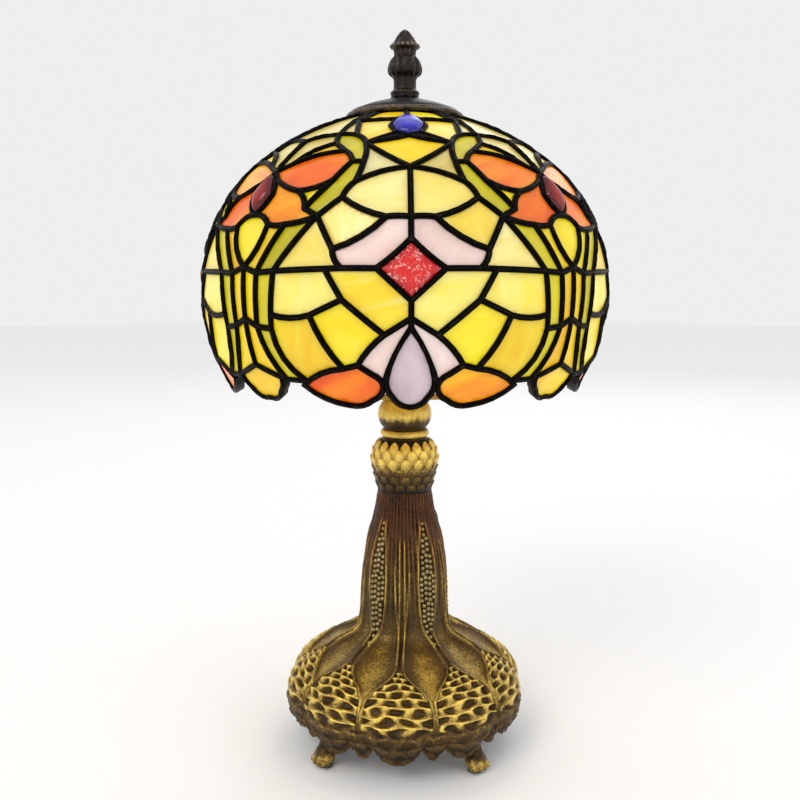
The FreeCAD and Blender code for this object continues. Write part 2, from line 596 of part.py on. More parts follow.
def rounded_path(points, radii):
    """Wire through points in the plane y = 0, with an arc of the given radius at each inner one."""
    edges, last = [], V(points[0][0], 0, points[0][1])
    for before, at, after, radius in zip(points, points[1:], points[2:], radii):
        corner = V(at[0], 0, at[1])
        back = (V(before[0], 0, before[1]) - corner).normalize()
        forth = (V(after[0], 0, after[1]) - corner).normalize()
        half = back.getAngle(forth) / 2
        run = radius / math.tan(half)
        start, end = corner + back * run, corner + forth * run
        middle = (back + forth).normalize()
        top = corner + middle * (radius / math.sin(half) - radius)
        edges += [Part.makeLine(last, start), Part.Arc(start, top, end).toShape()]
        last = end
    edges.append(Part.makeLine(last, V(points[-1][0], 0, points[-1][1])))
    return Part.Wire(edges)


def make_harp():
    """Wire hoop round the bulb, its threaded stud, and the sleeves that lock it to the saddle."""
    wire_level = HARP_TOP - HARP_WIRE
    foot = ARM_TOP + SEAT_GAP
    side = [(SADDLE_REACH, foot), (SADDLE_REACH, ARM_TOP + 18), (HARP_HALF_WIDTH, ARM_TOP + 48),
            (HARP_HALF_WIDTH, HARP_TOP - 46), (HARP_SHOULDER, wire_level)]
    radii = [20, 26, 30, 12]
    points = side + [(-r, z) for r, z in side[::-1]]
    path = rounded_path(points, radii + radii[::-1])
    section = Part.Wire(Part.makeCircle(HARP_WIRE, V(SADDLE_REACH, 0, foot), V(0, 0, 1)))
    hoop = path.makePipeShell([section], True, True)
    tab = disc(WHEEL_HUB, STUD_FOOT, HARP_TAB_THICKNESS, STUD_RADIUS)
    save("harp_hoop", hoop.cut(disc(STUD_RADIUS, STUD_FOOT - 2, 8)).fuse(tab).removeSplitter())
    flange_foot = HARP_TOP - 2 * HARP_WIRE - STUD_FLANGE
    flange = disc(STUD_RADIUS + 2.4, flange_foot, STUD_FLANGE)
    stud = disc(STUD_RADIUS, flange_foot, STUD_END - flange_foot)
    save("harp_stud", stud.fuse(flange).removeSplitter())
    for name, side_sign in (("harp_sleeve_left", -1), ("harp_sleeve_right", 1)):
        sleeve = disc(SLEEVE_BORE + SLEEVE_WALL, 0, SLEEVE_LENGTH, SLEEVE_BORE)
        collar = disc(SLEEVE_BORE + SLEEVE_WALL + 0.6, SLEEVE_LENGTH - 2, 2, SLEEVE_BORE)
        sleeve = sleeve.fuse(collar).removeSplitter()
        sleeve.translate(V(side_sign * SADDLE_REACH, 0, ARM_TOP - SLEEVE_LENGTH / 2))
        save(name, sleeve)


def make_harp_saddle():
    """U-shaped strip under the lampholder; the harp stands on its two uprights."""
    half = SADDLE_REACH + SADDLE_STRIP / 2
    strip = Part.makeBox(2 * half, SADDLE_WIDTH, SADDLE_STRIP, V(-half, -SADDLE_WIDTH / 2, BALL_TOP))
    arms = []
    width = 1.5 * SLEEVE_BORE
    for x in (-half, half - SADDLE_STRIP):
        arms.append(Part.makeBox(SADDLE_STRIP, width, ARM_TOP - BALL_TOP, V(x, -width / 2, BALL_TOP)))
    saddle = strip.fuse(arms).cut(disc(PIPE_RADIUS, BALL_TOP, SADDLE_STRIP))
    save("harp_saddle", saddle.removeSplitter())


# ---------------------------------------------------------------- lampholder and bulb
HOLDER_FOOT = SADDLE_TOP + NUT_THICKNESS
HOLDER_RIM = HOLDER_FOOT + HOLDER_CUP + HOLDER_HEIGHT
CORE_FOOT = HOLDER_FOOT + HOLDER_CUP
CORE_TOP = HOLDER_RIM - 1.5
SHELL_FOOT = CORE_TOP - 2.0 - SCREW_SHELL_LENGTH
CONTACT_TOP = SHELL_FOOT - 1.0
BULB_FOOT = CONTACT_TOP + 0.1
KEY_LEVEL = CORE_FOOT + 4.5
PIPE_TOP = HOLDER_FOOT + 5.0


def make_lampholder():
    """Brass cup and shell, porcelain core, screw shell, centre contact and turn key."""
    inner = HOLDER_RADIUS - HOLDER_SHEET
    cup = turned([(PIPE_RADIUS, HOLDER_FOOT), (8, HOLDER_FOOT), (HOLDER_RADIUS, CORE_FOOT - 3),
                  (HOLDER_RADIUS, CORE_FOOT), (inner, CORE_FOOT), (inner, CORE_FOOT - 2.8),
                  (7.8, HOLDER_FOOT + 1), (PIPE_RADIUS + 1.2, HOLDER_FOOT + 1),
                  (PIPE_RADIUS + 1.2, HOLDER_FOOT + 5), (PIPE_RADIUS, HOLDER_FOOT + 5)])
    save("holder_cup", cup)
    mouth = SCREW_SHELL_RADIUS + 2.4
    key_hole = Part.makeCylinder(KEY_SHAFT_RADIUS + FREE_GAP, 2 * HOLDER_RADIUS, V(0, 0, KEY_LEVEL), V(0, 1, 0))
    shell = turned([(inner, CORE_FOOT), (HOLDER_RADIUS, CORE_FOOT), (HOLDER_RADIUS, HOLDER_RIM - 1),
                    (HOLDER_RADIUS - 1, HOLDER_RIM), (mouth, HOLDER_RIM), (mouth, HOLDER_RIM - 0.8),
                    (inner, HOLDER_RIM - 1.4)])
    save("holder_shell", shell.cut(key_hole))
    core = disc(inner - 0.2, CORE_FOOT, CORE_TOP - CORE_FOOT)
    pocket = disc(SCREW_SHELL_RADIUS + SCREW_SHELL_SHEET, SHELL_FOOT, CORE_TOP - SHELL_FOOT)
    slot = disc(5.5, CONTACT_TOP - 1.2, SHELL_FOOT - CONTACT_TOP + 1.2)
    bearing = Part.makeCylinder(KEY_SHAFT_RADIUS + SHAFT_FIT, 2 * HOLDER_RADIUS, V(0, 3, KEY_LEVEL), V(0, 1, 0))
    save("holder_core", core.cut([pocket, slot, bearing]))
    sleeve = disc(SCREW_SHELL_RADIUS + SCREW_SHELL_SHEET, SHELL_FOOT, SCREW_SHELL_LENGTH, SCREW_SHELL_RADIUS)
    save("holder_screw_shell", sleeve)
    save("centre_contact", disc(CONTACT_RADIUS + 1.4, CONTACT_TOP - 1.2, 1.2))
    shaft = Part.makeCylinder(KEY_SHAFT_RADIUS, KEY_REACH - 7, V(0, 3.4, KEY_LEVEL), V(0, 1, 0))
    thick, length, wide = KEY_PADDLE
    paddle = Part.makeBox(wide, length, thick, V(-wide / 2, KEY_REACH - length + 4, KEY_LEVEL - thick / 2))
    paddle = paddle.makeFillet(1.2, paddle.Edges)
    save("switch_key", shaft.fuse(paddle).removeSplitter())


def make_bulb():
    """Round bulb: screw cap, foot contact and a blown envelope."""
    cap_foot = BULB_FOOT + 2.0
    cap_top = BULB_FOOT + BULB_CAP_LENGTH
    save("bulb_contact", turned([(0, BULB_FOOT), (CONTACT_RADIUS, BULB_FOOT), (5.2, cap_foot), (0, cap_foot)]))
    save("bulb_cap", turned([(0, cap_foot), (5.2, cap_foot), (BULB_CAP_RADIUS, cap_foot + 2),
                             (BULB_CAP_RADIUS, cap_top), (BULB_CAP_RADIUS - 0.5, cap_top),
                             (BULB_CAP_RADIUS - 0.5, cap_foot + 2.4), (4.8, cap_foot + 0.8),
                             (0, cap_foot + 0.8)]))
    middle = BULB_FOOT + BULB_LENGTH - BULB_RADIUS
    neck = BULB_CAP_RADIUS - 0.5
    globe = Part.makeSphere(BULB_RADIUS, V(0, 0, middle))
    shoulder = BULB_RADIUS * 0.62
    drop = math.sqrt(BULB_RADIUS ** 2 - shoulder ** 2)
    stem = turned([(0, cap_top - 4), (neck, cap_top - 4), (neck, cap_top + 3), (shoulder, middle - drop),
                   (0, middle - drop + 2)])
    hollow = Part.makeSphere(BULB_RADIUS - GLASS_WALL, V(0, 0, middle))
    throat = turned([(0, cap_top - 3), (neck - GLASS_WALL, cap_top - 3), (neck - GLASS_WALL, cap_top + 3),
                     (shoulder - GLASS_WALL, middle - drop), (0, middle - drop + 2)])
    save("bulb_glass", globe.fuse(stem).cut(hollow.fuse(throat)).removeSplitter())


# ---------------------------------------------------------------- cast base
def base_outline():
    """Section of the base's outside, from the skirt's hem up to the column's top."""
    reach = BASE_RADIUS - COLUMN_FOOT_RADIUS
    bulb = [(SKIRT_BOTTOM_RADIUS, SKIRT_BOTTOM), (BASE_RADIUS - 1.0, BASE_WIDEST_LEVEL - 7.5),
            (BASE_RADIUS, BASE_WIDEST_LEVEL), (BASE_RADIUS - 2.0, BASE_WIDEST_LEVEL + 9.5),
            (COLUMN_FOOT_RADIUS + 0.73 * reach, BASE_SHOULDER - 12),
            (COLUMN_FOOT_RADIUS + 0.395 * reach, BASE_SHOULDER - 3.5),
            (COLUMN_FOOT_RADIUS + 0.128 * reach, BASE_SHOULDER + 1)]
    span = COLUMN_TOP - BASE_SHOULDER
    waist = COLUMN_WAIST_RADIUS
    column = [(COLUMN_FOOT_RADIUS, BASE_SHOULDER + 5), (COLUMN_FOOT_RADIUS - 1.2, BASE_SHOULDER + 0.16 * span),
              (COLUMN_FOOT_RADIUS - 1.8, BASE_SHOULDER + 0.34 * span),
              (COLUMN_FOOT_RADIUS - 3.2, BASE_SHOULDER + 0.53 * span), (waist + 4.4, BASE_SHOULDER + 0.71 * span),
              (waist + 1.2, BASE_SHOULDER + 0.88 * span), (waist, COLUMN_TOP)]
    return bulb + column


def inner_outline(curve, points, wall):
    """The same section one wall further in."""
    inside = []
    for r, z in points:
        tangent = curve.tangent(curve.parameter(V(r, 0, z)))[0]
        inward = V(-tangent.z, 0, tangent.x)
        inside.append((r + inward.x * wall, z + inward.z * wall))
    return inside


def make_base_casting():
    """Hollow casting: scalloped skirt, bulb, column, and a ledge for the bottom plate."""
    points = base_outline()
    curve = spline_through(points)
    edges = [line((0, SKIRT_BOTTOM), points[0]), curve.toShape(), line(points[-1], (0, COLUMN_TOP)),
             line((0, COLUMN_TOP), (0, SKIRT_BOTTOM))]
    casting = turned_edges(edges)
    inside = inner_outline(curve, points, WALL)
    ledge_top = LEDGE_BOTTOM + LEDGE_THICKNESS
    upper = [p for p in inside if p[1] > ledge_top + 1 and p[1] < COLUMN_TOP - 2 * WALL]
    floor = (BASE_RADIUS - WALL - 0.6, ledge_top)
    roof = (upper[-1][0], COLUMN_TOP - 2 * WALL)
    wall_curve = spline_through([floor] + upper)
    cavity = turned_edges([line((0, ledge_top), floor), wall_curve.toShape(), line(upper[-1], roof),
                           line(roof, (0, roof[1])), line((0, roof[1]), (0, ledge_top))])
    below = Part.makeCone(SKIRT_BOTTOM_RADIUS - WALL, BASE_RADIUS - WALL - 1.4, LEDGE_BOTTOM - SKIRT_BOTTOM,
                          V(0, 0, SKIRT_BOTTOM))
    cuts = [cavity, below, disc(LEDGE_RADIUS, LEDGE_BOTTOM, LEDGE_THICKNESS),
            disc(PIPE_RADIUS, COLUMN_TOP - 3 * WALL, 3 * WALL)]
    for i in range(LOBES):
        for spread in (-NOTCH_SPREAD, NOTCH_SPREAD):
            way = heading(BASE_TURN + 360.0 / LOBES * i + spread)
            cuts.append(Part.makeCylinder(NOTCH_RADIUS, BASE_RADIUS / 2, way * (BASE_RADIUS * 0.7)
                                          + V(0, 0, SKIRT_BOTTOM + 1.5), way))
    bush_seat = Part.makeCylinder(BUSH_FLANGE + FREE_GAP, WALL, V(0, BUSH_SEAT, INLET_LEVEL), V(0, 1, 0))
    bush_hole = Part.makeCylinder(BUSH_BARREL, 4 * WALL, V(0, BUSH_SEAT - 3 * WALL, INLET_LEVEL), V(0, 1, 0))
    casting = casting.cut(cuts + [bush_seat, bush_hole])
    save("base_casting", casting)
    return casting


def make_feet(casting):
    """Four splayed paws, fitted up under the skirt, and the felt pads that they stand on."""
    feet, pads = [], []
    for i in range(FEET):
        way = heading(BASE_TURN + 360.0 / FEET * (i + 0.5))
        paw_middle = way * FOOT_CIRCLE + V(0, 0, PAD_THICKNESS + PAW_RADIUS - 1.4)
        leg_top = way * (FOOT_CIRCLE - FOOT_SPLAY) + V(0, 0, LEDGE_BOTTOM + 2)
        run = leg_top - paw_middle
        leg = Part.makeCone(ANKLE_RADIUS, ANKLE_RADIUS + 0.8, run.Length, paw_middle, run)
        paw = Part.makeSphere(PAW_RADIUS, paw_middle)
        blank = Part.makeCylinder(4 * PAW_RADIUS, LEDGE_BOTTOM - PAD_THICKNESS, V(0, 0, PAD_THICKNESS)
                                  + way * FOOT_CIRCLE)
        foot = paw.fuse(leg).common(blank).cut(casting).removeSplitter()
        feet.append(max(foot.Solids, key=lambda s: s.Volume))
        pads.append(Part.makeCylinder(PAD_RADIUS, PAD_THICKNESS, way * FOOT_CIRCLE))
    save("paw_feet", *feet)
    save("foot_pads", *pads)


def make_base_fittings():
    """What the base holds: bottom plate, counterweight, lamp pipe, its nuts and washer, cord bush."""
    save("bottom_plate", disc(PLATE_RADIUS, PLATE_BOTTOM, PLATE_THICKNESS, PIPE_RADIUS))
    save("counterweight", disc(WEIGHT_RADIUS, WEIGHT_FOOT, WEIGHT_HEIGHT, WEIGHT_HOLE))
    washer_foot = PLATE_BOTTOM - WASHER_THICKNESS
    save("pipe_washer", disc(WASHER_RADIUS, washer_foot, WASHER_THICKNESS, PIPE_RADIUS))
    save("pipe_nuts", hexagon(NUT_FLATS, washer_foot - NUT_THICKNESS, NUT_THICKNESS, PIPE_RADIUS),
         hexagon(NUT_FLATS, SADDLE_TOP, NUT_THICKNESS, PIPE_RADIUS))
    save("lamp_pipe", disc(PIPE_RADIUS, PIPE_FOOT, PIPE_TOP - PIPE_FOOT, PIPE_BORE))
    lip = Part.makeCylinder(BUSH_BARREL + 0.7, 1.6, V(0, BUSH_SEAT - WALL - 2.8, INLET_LEVEL), V(0, 1, 0))
    barrel_length = WALL + 2.8
    barrel = Part.makeCylinder(BUSH_BARREL, barrel_length, V(0, BUSH_SEAT - barrel_length, INLET_LEVEL), V(0, 1, 0))
    flange = Part.makeCylinder(BUSH_FLANGE, BUSH_FLANGE_THICKNESS, V(0, BUSH_SEAT, INLET_LEVEL), V(0, 1, 0))
    bore = Part.makeCylinder(BUSH_BORE, 30, V(0, BUSH_SEAT - 20, INLET_LEVEL), V(0, 1, 0))
    save("cord_bush", barrel.fuse([lip, flange]).cut(bore).removeSplitter())


def make_neck():
    """Three castings threaded on the pipe between the column and the harp saddle."""
    collar_top = COLUMN_TOP + COLLAR_HEIGHT
    ring_top = collar_top + RING_HEIGHT
    waist = COLUMN_WAIST_RADIUS
    collar = [(PIPE_RADIUS, COLUMN_TOP), (waist, COLUMN_TOP), (waist + 1.0, COLUMN_TOP + 5),
              (COLLAR_RADIUS - 1.3, COLUMN_TOP + 11), (COLLAR_RADIUS, COLUMN_TOP + 16),
              (COLLAR_RADIUS - 0.7, COLUMN_TOP + 20.5), (COLLAR_RADIUS - 2.6, COLUMN_TOP + 24),
              (SEAT_RADIUS, collar_top), (PIPE_RADIUS, collar_top)]
    save("scale_collar", turned(collar))
    bead = Part.makeTorus(RING_RADIUS - 2.0, 2.0, V(0, 0, collar_top + RING_HEIGHT / 2))
    ring = disc(RING_RADIUS - 1.2, collar_top, RING_HEIGHT, PIPE_RADIUS).fuse(bead).removeSplitter()
    save("neck_ring", ring)
    ball_points = [(RING_RADIUS - 1.2, ring_top), (BALL_RADIUS - 0.6, ring_top + 3), (BALL_RADIUS, ring_top + 6.4),
                   (BALL_RADIUS - 0.8, ring_top + 10), (BALL_RADIUS - 3.6, BALL_TOP)]
    ball = turned_edges([line((PIPE_RADIUS, ring_top), ball_points[0]), spline_through(ball_points).toShape(),
                         line(ball_points[-1], (PIPE_RADIUS, BALL_TOP)),
                         line((PIPE_RADIUS, BALL_TOP), (PIPE_RADIUS, ring_top))])
    save("neck_ball", ball)


# ---------------------------------------------------------------- build
make_feet(make_base_casting())
make_base_fittings()
make_neck()
make_harp_saddle()
make_harp()
make_lampholder()
make_bulb()
make_crown_wheel()
make_vent_cap()
make_finial()
PANES = pane_outlines()
make_shade_glass(PANES)
make_came_lattice(PANES)
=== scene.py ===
"""Stained glass table lamp: opalescent panes and pressed jewels in black soldered foil, on a cast base.

Metres, +Z up, front towards -Y. Angles round the axis are in degrees, 0 at the front and growing towards +X.
"""

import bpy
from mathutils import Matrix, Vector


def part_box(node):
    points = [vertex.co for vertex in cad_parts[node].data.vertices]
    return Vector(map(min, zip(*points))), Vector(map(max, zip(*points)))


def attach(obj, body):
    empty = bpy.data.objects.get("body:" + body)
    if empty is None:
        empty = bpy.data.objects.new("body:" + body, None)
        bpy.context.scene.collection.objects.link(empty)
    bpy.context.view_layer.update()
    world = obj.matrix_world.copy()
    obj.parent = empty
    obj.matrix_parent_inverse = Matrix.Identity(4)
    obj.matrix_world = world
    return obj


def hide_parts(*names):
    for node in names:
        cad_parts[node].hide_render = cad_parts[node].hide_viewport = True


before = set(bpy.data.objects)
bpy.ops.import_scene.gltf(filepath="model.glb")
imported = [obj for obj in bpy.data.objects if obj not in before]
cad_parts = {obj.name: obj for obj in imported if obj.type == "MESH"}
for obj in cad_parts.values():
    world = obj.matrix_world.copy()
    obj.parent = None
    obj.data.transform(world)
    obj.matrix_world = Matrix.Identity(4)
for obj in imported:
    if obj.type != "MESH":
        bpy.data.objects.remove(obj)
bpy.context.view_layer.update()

import bpy
import bmesh
import math
import random
import numpy as np
from mathutils import Vector, kdtree
from mathutils.geometry import delaunay_2d_cdt

MM = 0.001
BASE_TURN = -5.0                 # the casting sits turned a little against the shade
PANELS = 10                      # net panels round the base; every second one carries a strip of beads
PANEL = 360.0 / PANELS

# the dome's three arcs, as in the solder lattice, round the middle of its widest level
DOME_LEVEL = 237.5 * MM
SKIRT_CENTRE, SKIRT_ARC = 10.0 * MM, 91.5 * MM
SHOULDER_CENTRE, SHOULDER_ARC = 23.5 * MM, 78.0 * MM
CROWN_CENTRE, CROWN_ARC = -26.18 * MM, 113.18 * MM
CROWN_TURN = math.atan2(-CROWN_CENTRE, SHOULDER_CENTRE)
DOME_MIDDLE = np.array([0.0, 0.0, DOME_LEVEL])
FOIL = 1.3 * MM                  # from a pane's cut edge to the middle of the lead
BARED = 0.55 * MM                # how far the glass shows past its cut edge, under a thin bead of solder
GLASS_SINK = 0.9 * MM
GLASS_THICKNESS = 2.6 * MM
LATTICE_THICKNESS = 4.3 * MM
SOLDER_TUCK = 1.25 * MM          # how far a bead's foot goes under the lattice's top, down to the glass
LINING_TUCK = 0.9 * MM           # the same inside the shade, where the solder lies flatter
SOLDER_CREST = 0.62 * MM         # how far a bead's middle stands over the lattice
LINING_CREST = 0.4 * MM
EDGE_REACH = 0.9                 # share of the foil that the hem's edge bead takes
QUARTERS = 4                     # the shade's pattern repeats four times
NEIGHBOUR_REACH = 60 * MM        # panes farther apart than this share no seam


# ---------------------------------------------------------------- materials
def hue(code):
    """Linear colour of an sRGB hex value."""
    parts = [int(code[i:i + 2], 16) / 255 for i in (1, 3, 5)]
    return [p / 12.92 if p <= 0.04045 else ((p + 0.055) / 1.055) ** 2.4 for p in parts] + [1.0]


def finish(name):
    """An empty material."""
    material = bpy.data.materials.new(name)
    material.use_nodes = True
    material.node_tree.nodes.clear()
    return material


def node(owner, kind, inputs=None, stops=None, **settings):
    """Adds a node to a material or a geometry tree; inputs maps a socket to a value or a node's output."""
    tree = getattr(owner, "node_tree", owner)
    made = tree.nodes.new(kind)
    for key, value in settings.items():
        setattr(made, key, value)
    for key, value in (inputs or {}).items():
        if isinstance(value, bpy.types.NodeSocket):
            tree.links.new(value, made.inputs[key])
        else:
            made.inputs[key].default_value = value
    if stops:
        elements = made.color_ramp.elements
        while len(elements) < len(stops):
            elements.new(0.5)
        for element, (place, code) in zip(elements, stops):
            element.position = place
            element.color = hue(code) if isinstance(code, str) else (code, code, code, 1)
    return made


def output(material, shader):
    """Ends a material with its shader."""
    node(material, "ShaderNodeOutputMaterial", {"Surface": shader.outputs["BSDF"]})
    return material


def cast_metal(name, dark, middle, bright, metallic, grit_mm, roughness, grain_depth=0.25, browner=None):
    """Cast metal that was plated, waxed dark and rubbed: its brightness attribute says how much was rubbed
    bright, and on the ball, the scale collar, the leaf flutes and under the bulge it also carries painted
    light and painted shade.

    browner is a tint that the casting takes on with height, and the heights in mm where it starts and ends.
    """
    material = finish(name)
    place = node(material, "ShaderNodeTexCoord").outputs["Object"]
    wear = node(material, "ShaderNodeAttribute", attribute_name="wear").outputs["Fac"]
    blotch = node(material, "ShaderNodeTexNoise", {"Vector": place, "Scale": 90.0, "Detail": 5.0,
                                                   "Roughness": 0.7})
    grit = node(material, "ShaderNodeTexNoise",
                {"Vector": place, "Scale": 1000.0 / grit_mm, "Detail": 3.0, "Roughness": 0.6})
    cloud = node(material, "ShaderNodeMath", {0: blotch.outputs["Fac"], 1: 0.5}, operation="SUBTRACT")
    speck = node(material, "ShaderNodeMath", {0: grit.outputs["Fac"], 1: 0.5}, operation="SUBTRACT")
    mottled = node(material, "ShaderNodeMath", {0: cloud.outputs[0], 1: 0.55, 2: wear},
                   operation="MULTIPLY_ADD")
    worn = node(material, "ShaderNodeMath", {0: speck.outputs[0], 1: 0.75, 2: mottled.outputs[0]},
                operation="MULTIPLY_ADD")
    colour = node(material, "ShaderNodeValToRGB", {"Fac": worn.outputs[0]},
                  stops=[(0.0, dark), (0.45, middle), (1.0, bright)])
    if browner:
        level = node(material, "ShaderNodeSeparateXYZ", {"Vector": place})
        share = node(material, "ShaderNodeMapRange",
                     {"Value": level.outputs["Z"], "From Min": browner[1] * MM,
                                                      "From Max": browner[2] * MM})
        colour = node(material, "ShaderNodeMixRGB",
                      {"Fac": share.outputs["Result"], "Color1": colour.outputs["Color"],
                                                     "Color2": hue(browner[0])}, blend_type="MULTIPLY")
    rough = node(material, "ShaderNodeMapRange", {"Value": worn.outputs[0], "To Min": roughness + 0.2,
                                                  "To Max": roughness})
    bump = node(material, "ShaderNodeBump", {"Height": grit.outputs["Fac"], "Strength": grain_depth,
                                             "Distance": 0.3 * MM})
    shader = node(material, "ShaderNodeBsdfPrincipled",
                  {"Base Color": colour.outputs["Color"], "Metallic": metallic,
                   "Roughness": rough.outputs["Result"], "Normal": bump.outputs["Normal"]})
    return output(material, shader)


def drawn_metal(name, low, high, metallic, roughness, scratch_mm):
    """Turned, drawn or rolled metal: fine rings round the axis and a little cloudy tarnish."""
    material = finish(name)
    place = node(material, "ShaderNodeTexCoord").outputs["Object"]
    lie = node(material, "ShaderNodeMapping", {"Vector": place, "Scale": (30.0, 30.0, 1000.0 / scratch_mm)})
    rings = node(material, "ShaderNodeTexNoise", {"Vector": lie.outputs[0], "Scale": 1.0, "Detail": 4.0})
    tarnish = node(material, "ShaderNodeTexNoise", {"Vector": place, "Scale": 120.0, "Detail": 4.0})
    colour = node(material, "ShaderNodeValToRGB", {"Fac": tarnish.outputs["Fac"]},
                  stops=[(0.3, low), (0.65, high)])
    rough = node(material, "ShaderNodeMapRange", {"Value": rings.outputs["Fac"], "To Min": roughness - 0.08,
                                                  "To Max": roughness + 0.12})
    bump = node(material, "ShaderNodeBump", {"Height": rings.outputs["Fac"], "Strength": 0.12,
                                             "Distance": 0.1 * MM})
    shader = node(material, "ShaderNodeBsdfPrincipled",
                  {"Base Color": colour.outputs["Color"], "Metallic": metallic,
                   "Roughness": rough.outputs["Result"], "Normal": bump.outputs["Normal"]})
    return output(material, shader)


def dull_stuff(name, low, high, grain_mm, roughness, depth, sheen=0.0, ior=1.5):
    """Felt, plastic or porcelain: two close shades in a fine grain."""
    material = finish(name)
    place = node(material, "ShaderNodeTexCoord").outputs["Object"]
    grain = node(material, "ShaderNodeTexNoise", {"Vector": place, "Scale": 1000.0 / grain_mm, "Detail": 4.0,
                                                  "Roughness": 0.65})
    colour = node(material, "ShaderNodeValToRGB", {"Fac": grain.outputs["Fac"]},
                  stops=[(0.3, low), (0.7, high)])
    bump = node(material, "ShaderNodeBump", {"Height": grain.outputs["Fac"], "Strength": depth,
                                             "Distance": 0.2 * MM})
    shader = node(material, "ShaderNodeBsdfPrincipled",
                  {"Base Color": colour.outputs["Color"], "Roughness": roughness, "IOR": ior,
                   "Sheen Weight": sheen, "Normal": bump.outputs["Normal"]})
    return output(material, shader)


def opal_glass(name, shades, streak, streak_part, glow, painted_shade_at_foil=0.8, streak_mm=14.0):
    """Rolled opalescent sheet: milky, with drawn-out streaks. Its emission paints the bulb's light shining
    through, even and bright, and it is painted a little darker along the foil as painted shade. Every pane is
    cut from another part of the sheet."""
    material = finish(name)
    sheet = node(material, "ShaderNodeUVMap", uv_map="sheet").outputs["UV"]
    pane = node(material, "ShaderNodeAttribute", attribute_name="pane").outputs["Fac"]
    rim = node(material, "ShaderNodeAttribute", attribute_name="rim").outputs["Fac"]
    drawn = node(material, "ShaderNodeMapping", {"Vector": sheet,
                                                 "Scale": (300.0 / streak_mm, 1000.0 / streak_mm, 1)})
    cloud = node(material, "ShaderNodeTexNoise", {"Vector": drawn.outputs[0], "Scale": 0.6, "Detail": 3.0,
                                                  "Roughness": 0.5, "Distortion": 0.6})
    wisp = node(material, "ShaderNodeTexNoise", {"Vector": drawn.outputs[0], "Scale": 1.3, "Detail": 2.0,
                                                 "Roughness": 0.5, "Distortion": 0.9})
    shift = node(material, "ShaderNodeMath", {0: pane, 1: 0.5}, operation="SUBTRACT")
    tone = node(material, "ShaderNodeMath", {0: shift.outputs[0], 1: 0.45, 2: cloud.outputs["Fac"]},
                operation="MULTIPLY_ADD")
    places = (0.25, 0.5, 0.75)
    body = node(material, "ShaderNodeValToRGB", {"Fac": tone.outputs[0]}, stops=list(zip(places, shades)))
    strip = node(material, "ShaderNodeMapRange", {"Value": wisp.outputs["Fac"], "From Min": 0.48,
                                                  "From Max": 0.78,
                                                  "To Max": streak_part})
    streaked = node(material, "ShaderNodeMixRGB", {"Fac": strip.outputs["Result"],
                                                   "Color1": body.outputs["Color"], "Color2": hue(streak)})
    # painted shade: each pane is drawn darker towards the foil round it
    edge = node(material, "ShaderNodeMapRange", {"Value": rim, "To Min": painted_shade_at_foil, "To Max": 1.0})
    shaded = node(material, "ShaderNodeVectorMath", {0: streaked.outputs["Color"], 3: edge.outputs["Result"]},
                  operation="SCALE")
    # painted light: the emission below shows the bulb's light coming through the glass, over a base colour
    # dimmed to four tenths
    unlit = node(material, "ShaderNodeVectorMath", {0: shaded.outputs[0], 3: 0.4}, operation="SCALE")
    ripple = node(material, "ShaderNodeTexNoise", {"Vector": drawn.outputs[0], "Scale": 2.2, "Detail": 2.0})
    bump = node(material, "ShaderNodeBump", {"Height": ripple.outputs["Fac"], "Strength": 0.35,
                                             "Distance": 0.5 * MM})
    shader = node(material, "ShaderNodeBsdfPrincipled",
                  {"Base Color": unlit.outputs[0], "Roughness": 0.26, "IOR": 1.5, "Transmission Weight": 0.0,
                   "Emission Color": shaded.outputs[0], "Emission Strength": glow,
                   "Normal": bump.outputs["Normal"]})
    return output(material, shader)


def jewel_glass(name, rim_painted_shade, body, spark, glow, stipple_mm, stipple):
    """Pressed glass jewel: fire-polished face, with the press's stipple where it has one. The colour is
    painted darker towards the rim as painted shade, pale flecks on the stipple are painted glints, and the
    emission paints the bulb's light coming through.
    """
    material = finish(name)
    place = node(material, "ShaderNodeTexCoord").outputs["Object"]
    rim = node(material, "ShaderNodeAttribute", attribute_name="rim").outputs["Fac"]
    stamped = node(material, "ShaderNodeTexVoronoi", {"Vector": place, "Scale": 1000.0 / stipple_mm,
                                                      "Smoothness": 0.6}, feature="SMOOTH_F1")
    patch = node(material, "ShaderNodeTexNoise", {"Vector": place, "Scale": 420.0, "Detail": 3.0,
                                                  "Roughness": 0.7,
                                                  "Distortion": 1.5})
    # painted glints: pale flecks in patches over the stipple, mixed into the colour and the emission
    line = node(material, "ShaderNodeMapRange", {"Value": patch.outputs["Fac"], "From Min": 0.56,
                                                 "From Max": 0.66,
                                                 "To Min": 0.0, "To Max": stipple})
    # painted shade: the colour darkens towards the jewel's rim
    body_colour = node(material, "ShaderNodeValToRGB", {"Fac": rim}, stops=[(0.0, rim_painted_shade), (0.8, body)])
    mixed = node(material, "ShaderNodeMixRGB", {"Fac": line.outputs["Result"],
                                                "Color1": body_colour.outputs["Color"],
                                                "Color2": hue(spark)})
    bump = node(material, "ShaderNodeBump", {"Height": stamped.outputs["Distance"], "Strength": stipple,
                                             "Distance": 1.0 * MM})
    # painted light: the emission below shows the bulb's light coming through the jewel
    unlit = node(material, "ShaderNodeVectorMath", {0: mixed.outputs["Color"], 3: 0.5}, operation="SCALE")
    shader = node(material, "ShaderNodeBsdfPrincipled",
                  {"Base Color": unlit.outputs[0], "Roughness": 0.2, "IOR": 1.5,
                   "Emission Color": mixed.outputs["Color"], "Emission Strength": glow,
                   "Normal": bump.outputs["Normal"]})
    return output(material, shader)


# Zinc casting, brass plated, waxed dark and rubbed: warm gold on every ridge, brown-black in the hollows.
GILT_CASTING = cast_metal("zinc_casting_rubbed_gilt", "#0C0703", "#62491C", "#F8D566", 0.62, 0.9, 0.3, 0.4)
